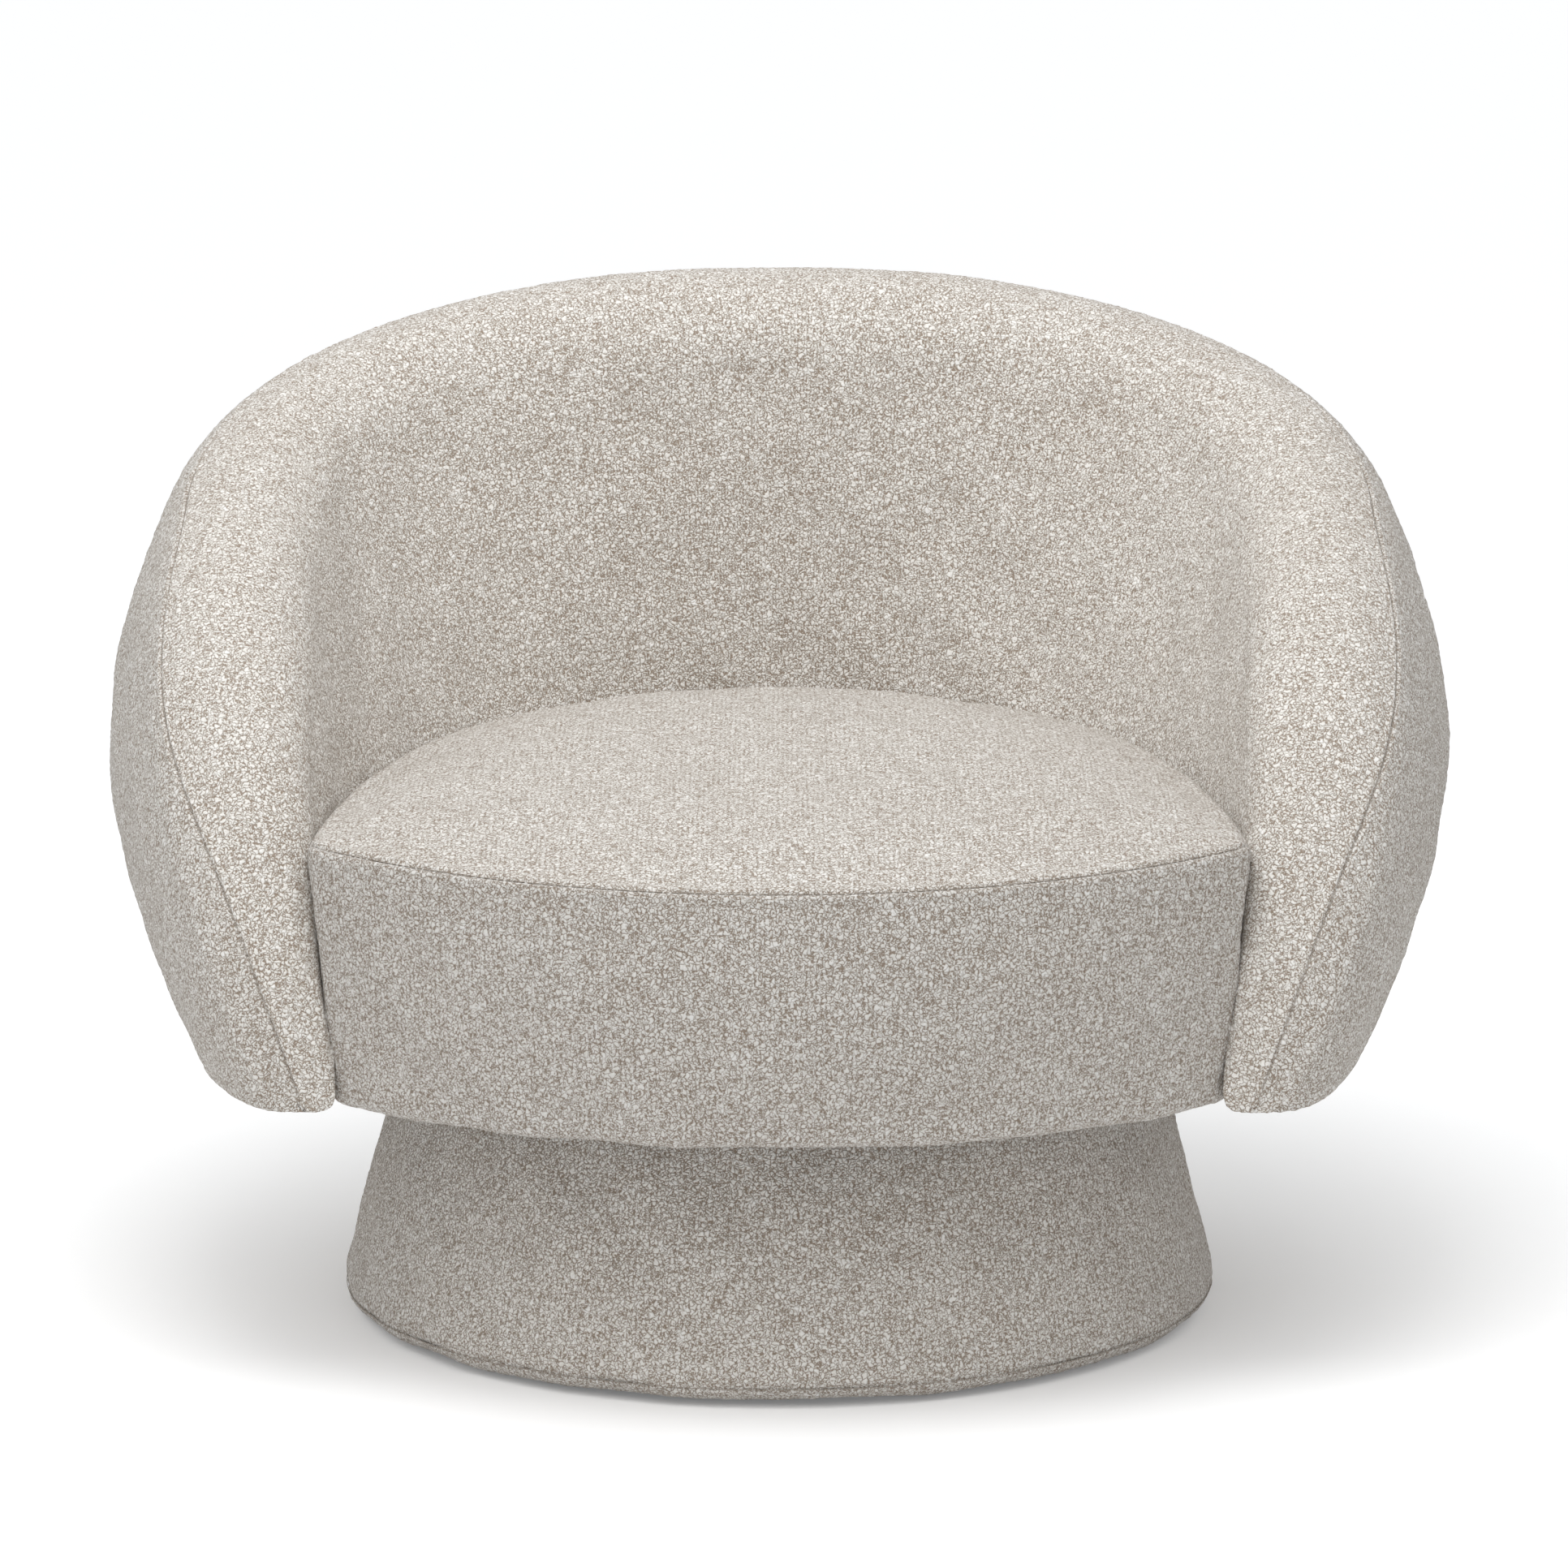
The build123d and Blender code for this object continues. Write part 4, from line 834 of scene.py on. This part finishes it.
# Seat
def seat_ring(inset, level, slope, front, share=1.0):
    """Plan of the seat from the middle of its rear to the right and round, on a rising plane."""
    corner_y = ARM_TIP_Y + SEAT_CORNER_Y + inset
    corner_x = SEAT_FRONT_X + SEAT_FRONT_FLARE * (level + slope * corner_y - UNDERSIDE) - inset
    rear = []
    for cut in SEAT_CUTS:
        reach = cut.inner_reach(SEAT_PRESS - inset, level, slope)
        rear.append((reach * math.cos(cut.turn), cut.y + reach * math.sin(cut.turn)))
    rear = np.array(rear)
    corner = np.array([corner_x, corner_y])
    side = mix(rear[-1], corner, np.linspace(0, 1, SEAT_SIDE_COUNT)[1:, None])
    nearest = -front + inset
    sag = corner_y - nearest
    radius = (corner_x**2 + sag**2) / (2 * sag)
    half = math.asin(corner_x / radius)
    turn = np.linspace(half, 0, SEAT_FRONT_COUNT // 2)[1:]
    arc = np.stack([radius * np.sin(turn), nearest + radius - radius * np.cos(turn)], axis=-1)
    right = np.concatenate([rear, side, arc])
    left = right[-2:0:-1] * np.array([-1, 1])
    plan = np.concatenate([right, left])
    for _ in range(CORNER_PASSES):
        plan = (np.roll(plan, 1, 0) + 2 * plan + np.roll(plan, -1, 0)) / 4
    x = plan[:, 0] * share
    y = SEAT_CENTRE_Y + (plan[:, 1] - SEAT_CENTRE_Y) * share
    return np.stack([x, y, level + slope * y], axis=-1)


def edge_ring(turn, inset=0.0):
    """Ring on the rounded upper edge, at an angle above level."""
    level = SHOULDER + SEAT_EDGE_R * math.sin(turn) - inset
    return seat_ring(inset + SEAT_EDGE_R * (1 - math.cos(turn)), level, SEAT_SLOPE, PLAN_FRONT)


def face_ring(share, inset=0.0):
    """Ring on the swelling face, at a share of the way up."""
    front = PLAN_FRONT + SEAT_BULGE * 4 * share * (1 - share)
    return seat_ring(inset, mix(SEAT_FOOT, SHOULDER, share), SEAT_SLOPE * share, front)


def crown_ring(share):
    level = SEAT_EDGE + SEAT_CROWN * (1 - share**2)
    return seat_ring(SEAT_EDGE_R, level, SEAT_SLOPE, PLAN_FRONT, share)


def seam_distance(rings):
    """Distance of each ring from the first one, at the middle of the front."""
    middle = rings.shape[1] // 2
    return lengths(rings[:, middle : middle + 1], 0)[:, 0]


def tucked(rings, share):
    """Sink the seam between seat and tub along the sides and the rear, by a share for each ring."""
    face = edge_ring(0)
    side = eased((face[:, 1] - ARM_TIP_Y - SEAT_CORNER_Y) / SEAM_TURN_IN)
    weight = np.asarray(share)[:, None] * side
    rings[..., :2] = mix(rings[..., :2], face[:, :2], weight[..., None])
    rings[..., 2] -= SEAM_DROP * weight
    return rings


def crown_rings():
    turns = np.linspace(SEAM_TURN, math.pi / 2, ROUND_ROWS)
    shares = np.linspace(1, 0, SEAT_TOP_ROWS + 1)[1:]
    rings = np.array([edge_ring(turn) for turn in turns] + [crown_ring(share) for share in shares])
    return tucked(rings, np.clip(1 - np.arange(len(rings)) / ROUND_ROWS, 0, 1))


def seat_underside():
    """Rings of the foam's flat underside on the webbing, from its middle to the seam."""
    rings = []
    for share in UNDER_SHARES:
        rings.append(seat_ring(BORDER + FRONT_PAD, WEB_TOP, 0, PLAN_FRONT, share))
    low = seat_ring(2 * BORDER, WEB_TOP + BORDER, 0, PLAN_FRONT)
    high = tucked(np.array([edge_ring(0, 2 * BORDER)]), [1])[0]
    return np.array(rings + [low, high])


def swollen(rings, hidden):
    """Let the filling swell the seat's cover: cloth under pressure, held along its seam and below."""
    rows = np.concatenate([rings, hidden]).transpose(1, 0, 2)[::CLOTH_STEP]
    coarse = grid_piece("seat_cloth", rows, SEAT_FABRIC, True)
    coarse.data.remesh_voxel_size = CLOTH_GRAIN
    bpy.context.view_layer.objects.active = coarse
    bpy.ops.object.voxel_remesh()
    rest = np.array([vertex.co for vertex in coarse.data.vertices])
    level = rest[:, 2] - SEAT_SLOPE * rest[:, 1]
    held = coarse.vertex_groups.new(name="held")
    held.add(np.flatnonzero(level < CLOTH_HELD).tolist(), 1.0, "REPLACE")
    cloth = coarse.modifiers.new("cloth", "CLOTH")
    cloth.settings.vertex_group_mass = "held"
    cloth.settings.use_pressure = True
    cloth.settings.uniform_pressure_force = CLOTH_PRESSURE
    cloth.settings.effector_weights.gravity = 0
    scene = bpy.context.scene
    for step in range(1, CLOTH_FRAMES + 1):
        scene.frame_set(step)
    evaluated = coarse.evaluated_get(bpy.context.evaluated_depsgraph_get())
    moved = np.array([vertex.co for vertex in evaluated.data.vertices]) - rest
    scene.frame_set(1)
    size = np.linalg.norm(moved, axis=1, keepdims=True)
    moved *= np.minimum(1, SEAT_SWELL / np.maximum(size, 1e-9))
    tree = kdtree.KDTree(len(rest))
    for index, point in enumerate(rest):
        tree.insert(point, index)
    tree.balance()
    bpy.data.objects.remove(coarse)
    swell = np.zeros_like(rings)
    for place in np.ndindex(rings.shape[:2]):
        near = tree.find_n(rings[place], CLOTH_NEIGHBOURS)
        weights = np.array([1 / (distance + CLOTH_BLEND) for _, _, distance in near])
        swell[place] = weights @ moved[[index for _, index, _ in near]] / weights.sum()
    swell[0] = 0
    return rings + swell


def seat_piece(name, rings, hidden, fabric, nodes, planar):
    """Closed piece of the seat from its shown rings, seam first, and its hidden ones."""
    along = np.concatenate([seam_distance(rings), np.ones(len(hidden))])
    shown = np.concatenate([np.ones(len(rings)), np.zeros(len(hidden))])
    rows = np.concatenate([rings, hidden]).transpose(1, 0, 2)
    rows = upholster(rows, along, shown, True, SEAT_SEAM)
    uv = np.pad(rows, ((0, 1), (0, 1), (0, 0)), mode="wrap")[..., :2] if planar else None
    piece = grid_piece(name, rows, fabric, True, uv)
    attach(piece, "seat")
    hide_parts(*nodes)


def border_rings():
    turns = np.linspace(SEAM_TURN, 0, ROUND_ROWS)
    shares = np.linspace(1, 0, SEAT_FACE_ROWS + 1)[1:]
    rings = [edge_ring(turn) for turn in turns] + [face_ring(share) for share in shares]
    for turn in np.linspace(0, math.pi / 2, ROUND_ROWS)[1:]:
        inset = SEAT_FOOT_R * (1 - math.cos(turn))
        rings.append(seat_ring(inset, SEAT_FOOT - SEAT_FOOT_R * math.sin(turn), 0, PLAN_FRONT))
    rings = np.array(rings)
    return tucked(rings, np.clip(1 - seam_distance(rings) / SEAM_FADE, 0, 1))


def border_back():
    """Hidden rings of the border: under the seat, up the rail and along the seat's foam."""
    web = (WEB_TOP - SEAT_FOOT) / (SHOULDER - SEAT_FOOT)
    rings = [seat_ring(FRONT_PAD, UNDERSIDE + TUCK, 0, PLAN_FRONT)]
    rings += [seat_ring(FRONT_PAD, WEB_TOP - BORDER, 0, PLAN_FRONT), face_ring(web, BORDER)]
    high = tucked(np.array([face_ring(1, BORDER)]), [1])[0]
    return np.array(rings + [high])


def seat_top():
    """Crowned top of the seat with its foam."""
    top = crown_rings()
    under = seat_underside()
    top = swollen(top, under)
    seat_piece("seat_top", top, under, SEAT_FABRIC, ["seat_top_cover", "seat_foam"], True)


def seat_border():
    """Border round the seat with the foam in front of the rail."""
    nodes = ["seat_border_cover", "seat_front_foam"]
    seat_piece("seat_border", border_rings(), border_back(), BORDER_FABRIC, nodes, False)


def seat_seam_shade_stitches():
    """Stitches along the seam at the seat's front, painted shade of the seam."""
    seam = edge_ring(SEAM_TURN, CREASE / 2)
    in_front = seam[:, 1] < ARM_TIP_Y + SEAT_CORNER_Y
    outwards = np.array([[0, -1.0, 1.0]]).repeat(in_front.sum(), axis=0)
    stitches("seat_seam_shade_stitches", seam[in_front], outwards, "seat")


seat_top()
seat_border()
seat_seam_shade_stitches()


# Round base
def base_r(height):
    return BASE_FOOT_R - BASE_FLARE * height


def arc(x, z, radius, turns):
    """Points round (x, z)."""
    return [(x + radius * math.cos(turn), z + radius * math.sin(turn)) for turn in turns]


def base_profile(low, grow):
    """Half cut of the base's cover from the turned-in top to the turned-in foot, grown outwards."""
    lean = math.atan(BASE_FLARE)
    top_z = BASE_TOP - BASE_TOP_ROUND
    top_x = base_r(top_z) - BASE_TOP_ROUND / math.cos(lean)
    points = [(top_x - BASE_TURN_IN, BASE_TOP)]
    points += arc(top_x, top_z, BASE_TOP_ROUND + grow, np.linspace(math.pi / 2, lean, ROUND_ROWS))
    foot_z = low + BASE_FOOT_ROUND
    foot_x = base_r(foot_z) - BASE_FOOT_ROUND / math.cos(lean)
    turns = np.linspace(lean, -math.pi / 2, 2 * ROUND_ROWS)
    foot = arc(foot_x, foot_z, BASE_FOOT_ROUND + grow, turns)
    side = mix(np.array(points[-1]), np.array(foot[0]), np.linspace(0, 1, BASE_SIDE_ROWS)[1:-1, None])
    points += [tuple(point) for point in side] + foot
    points.append((foot_x - BASE_TURN_IN, low - grow + TUCK))
    return np.array(points)


def revolved(profile):
    turns = np.linspace(0, 2 * math.pi, BASE_COUNT, endpoint=False) + math.pi / 2
    x = np.cos(turns)[:, None] * profile[:, 0]
    y = np.sin(turns)[:, None] * profile[:, 0]
    return np.stack([x, y, np.broadcast_to(profile[:, 1], x.shape)], axis=-1)


def base_piece(name, outer, inner, seam_z, nodes):
    """Closed ring from the shown half cut and the hidden one behind it."""
    rows = revolved(np.concatenate([outer, inner]))
    distance = np.concatenate([np.abs(outer[:, 1] - seam_z), np.ones(len(inner))])
    shown = np.concatenate([np.ones(len(outer)), np.zeros(len(inner))])
    rows = upholster(rows, distance, shown, True)
    piece = grid_piece(name, rows, BASE_FABRIC, True)
    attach(piece, "base")
    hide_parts(*nodes)


def base_sleeve():
    """Cover of the base with its padding."""
    back = np.array([
        (base_r(BASE_FLOOR) - BASE_PAD - BASE_FOOT_ROUND, BASE_FLOOR + BASE_PAD / 4),
        (base_r(BASE_FLOOR + BASE_FOOT_ROUND) - BASE_PAD, BASE_FLOOR + BASE_FOOT_ROUND),
        (base_r(BASE_TOP - BASE_PAD) - BASE_PAD, BASE_TOP - BASE_PAD / 2),
        (base_r(BASE_TOP) - BASE_PAD - BASE_TOP_ROUND, BASE_TOP - BASE_PAD / 4),
    ])
    base_piece("base_sleeve", base_profile(BASE_FLOOR, 0), back, NO_SEAM, ["base_cover", "base_padding"])


def base_hem():
    """Hem band round the foot and the stitches along its upper edge."""
    cut = base_profile(BASE_FLOOR, HEM_THICK)
    cut = cut[(cut[:, 1] < HEM_TOP) & (cut[:, 0] > base_r(BASE_FLOOR) - BASE_FOOT_ROUND)]
    back = cut[::-1] - np.array([HEM_THICK, -HEM_THICK / 2])
    base_piece("base_hem", cut, back, NO_SEAM, ["base_hem_band"])
    turns = np.linspace(0, 2 * math.pi, BASE_COUNT) + math.pi / 2
    outwards = np.stack([np.cos(turns), np.sin(turns), 0 * turns], axis=-1)
    seam = outwards * cut[0, 0] + np.array([0, 0, HEM_TOP])
    stitches("hem_stitches", seam, outwards, "base")


base_sleeve()
base_hem()


# Linings under the seat and the base
def lining_sheet(name, node, body, bore):
    """Thin stretched cloth with the outline of the solid sheet."""
    points = np.array([vertex.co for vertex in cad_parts[node].data.vertices])
    turns = np.arctan2(points[:, 1], points[:, 0])
    radii = np.hypot(points[:, 0], points[:, 1])
    rim = radii > bore + RIM_MARGIN
    order = np.argsort(turns[rim])
    at = np.linspace(-math.pi, math.pi, LINING_COUNT, endpoint=False)
    outline = np.interp(at, turns[rim][order], radii[rim][order], period=2 * math.pi)
    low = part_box(node)[0].z
    shares = np.linspace(0, 1, LINING_ROWS)
    rings = []
    for lift, places in ((0, shares), (LINING, shares[::-1])):
        for share in places:
            radius = mix(bore, outline, share)
            level = 0 * at + low + lift
            rings.append(np.stack([radius * np.cos(at), radius * np.sin(at), level], axis=-1))
    piece = grid_piece(name, np.array(rings).transpose(1, 0, 2), LINING_CLOTH, True)
    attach(piece, body)
    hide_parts(node)


lining_sheet("seat_lining", "seat_dust_cover", "seat", SWIVEL_R)
lining_sheet("base_lining", "base_dust_cover", "base", 0.0)

# Finishes of the pieces inside
FINISHES = {
    plywood: [
        "back_ribs", "back_top_rail", "seat_board", "seat_front_rail", "seat_side_rails",
        "seat_rear_rail", "base_bottom_ring", "base_ribs", "base_top_board",
    ],
    hardboard: ["back_inner_panel", "back_outer_panel", "base_shell"],
    zinc_steel: [
        "swivel_lower_plate", "swivel_upper_plate", "swivel_pivot", "swivel_pivot_nut",
        "swivel_balls", "base_bolts", "base_nuts", "seat_bolts", "seat_nuts",
    ],
    nylon: ["glides", "swivel_ball_cage"],
    webbing: ["seat_webbing_long", "seat_webbing_cross"],
}
for finish, names in FINISHES.items():
    material = finish()
    for name in names:
        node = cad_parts[name]
        node.data.materials.clear()
        node.data.materials.append(material)


# Floor, light and camera
def pale_floor():
    bpy.ops.mesh.primitive_plane_add(size=FLOOR_SIZE)
    floor = bpy.context.object
    floor.name = "floor"
    nodes = Nodes("pale_floor", Roughness=0.9)
    grain = nodes.noise(nodes.coordinates(), scale=30)
    pale = nodes.ramp(grain, (0.0, FLOOR_PALE), (1.0, WHITE))
    seen = nodes.add("LightPath").outputs["Is Camera Ray"]
    colour = nodes.add(
        "Mix", {0: seen, 6: (FLOOR_BOUNCE, FLOOR_BOUNCE, FLOOR_BOUNCE, 1), 7: pale}, data_type="RGBA"
    ).outputs[2]
    nodes.shader.inputs["Emission Color"].default_value = WHITE
    glow = nodes.math("MULTIPLY", seen, FLOOR_GLOW)
    nodes.tree.links.new(glow, nodes.shader.inputs["Emission Strength"])
    floor.data.materials.append(nodes.finish(colour, grain, strength=0.02, depth=0.0005))


def sky():
    """Soft light, brightest from above the camera, with white behind the chair."""
    world = bpy.data.worlds.new("studio")
    bpy.context.scene.world = world
    world.use_nodes = True
    tree = world.node_tree
    tree.nodes.clear()
    kinds = ("OutputWorld", "MixShader", "LightPath", "Background", "Background")
    out, blend, path, white, light = [tree.nodes.new("ShaderNode" + kind) for kind in kinds]
    kinds = ("TexCoord", "VectorMath", "MapRange")
    place, towards, rise = [tree.nodes.new("ShaderNode" + kind) for kind in kinds]
    towards.operation = "DOT_PRODUCT"
    towards.inputs[1].default_value = SKY_AXIS
    rise.inputs["To Min"].default_value = SKY_LOW
    rise.inputs["To Max"].default_value = SKY_HIGH
    white.inputs["Color"].default_value = WHITE
    light.inputs["Color"].default_value = SKY_COLOUR
    for source, target in (
        (place.outputs["Generated"], towards.inputs[0]),
        (towards.outputs["Value"], rise.inputs["Value"]),
        (rise.outputs["Result"], light.inputs["Strength"]),
        (path.outputs["Is Camera Ray"], blend.inputs[0]),
        (light.outputs[0], blend.inputs[1]),
        (white.outputs[0], blend.inputs[2]),
        (blend.outputs[0], out.inputs["Surface"]),
    ):
        tree.links.new(source, target)


def lamp(name, kind, power, tilt, place=(0, 0, 0)):
    light = bpy.data.lights.new(name, kind)
    light.energy = power
    holder = placed(name, light)
    holder.location = place
    holder.rotation_euler = tilt
    return light


def camera():
    lens = bpy.data.cameras.new("camera")
    lens.lens = CAMERA_LENS
    lens.sensor_width = CAMERA_SENSOR
    holder = placed("camera", lens)
    holder.location = CAMERA_PLACE
    holder.rotation_euler = (math.pi / 2 - CAMERA_DOWN, 0, CAMERA_YAW)
    bpy.context.scene.camera = holder


pale_floor()
sky()
lamp("key", "SUN", SUN_STRENGTH, SUN_TILT).angle = SUN_SOFTNESS
lamp("overhead", "AREA", LAMP_POWER, LAMP_TILT, LAMP_PLACE).size = LAMP_SIZE
camera()
bpy.context.scene.view_settings.view_transform = "Standard"
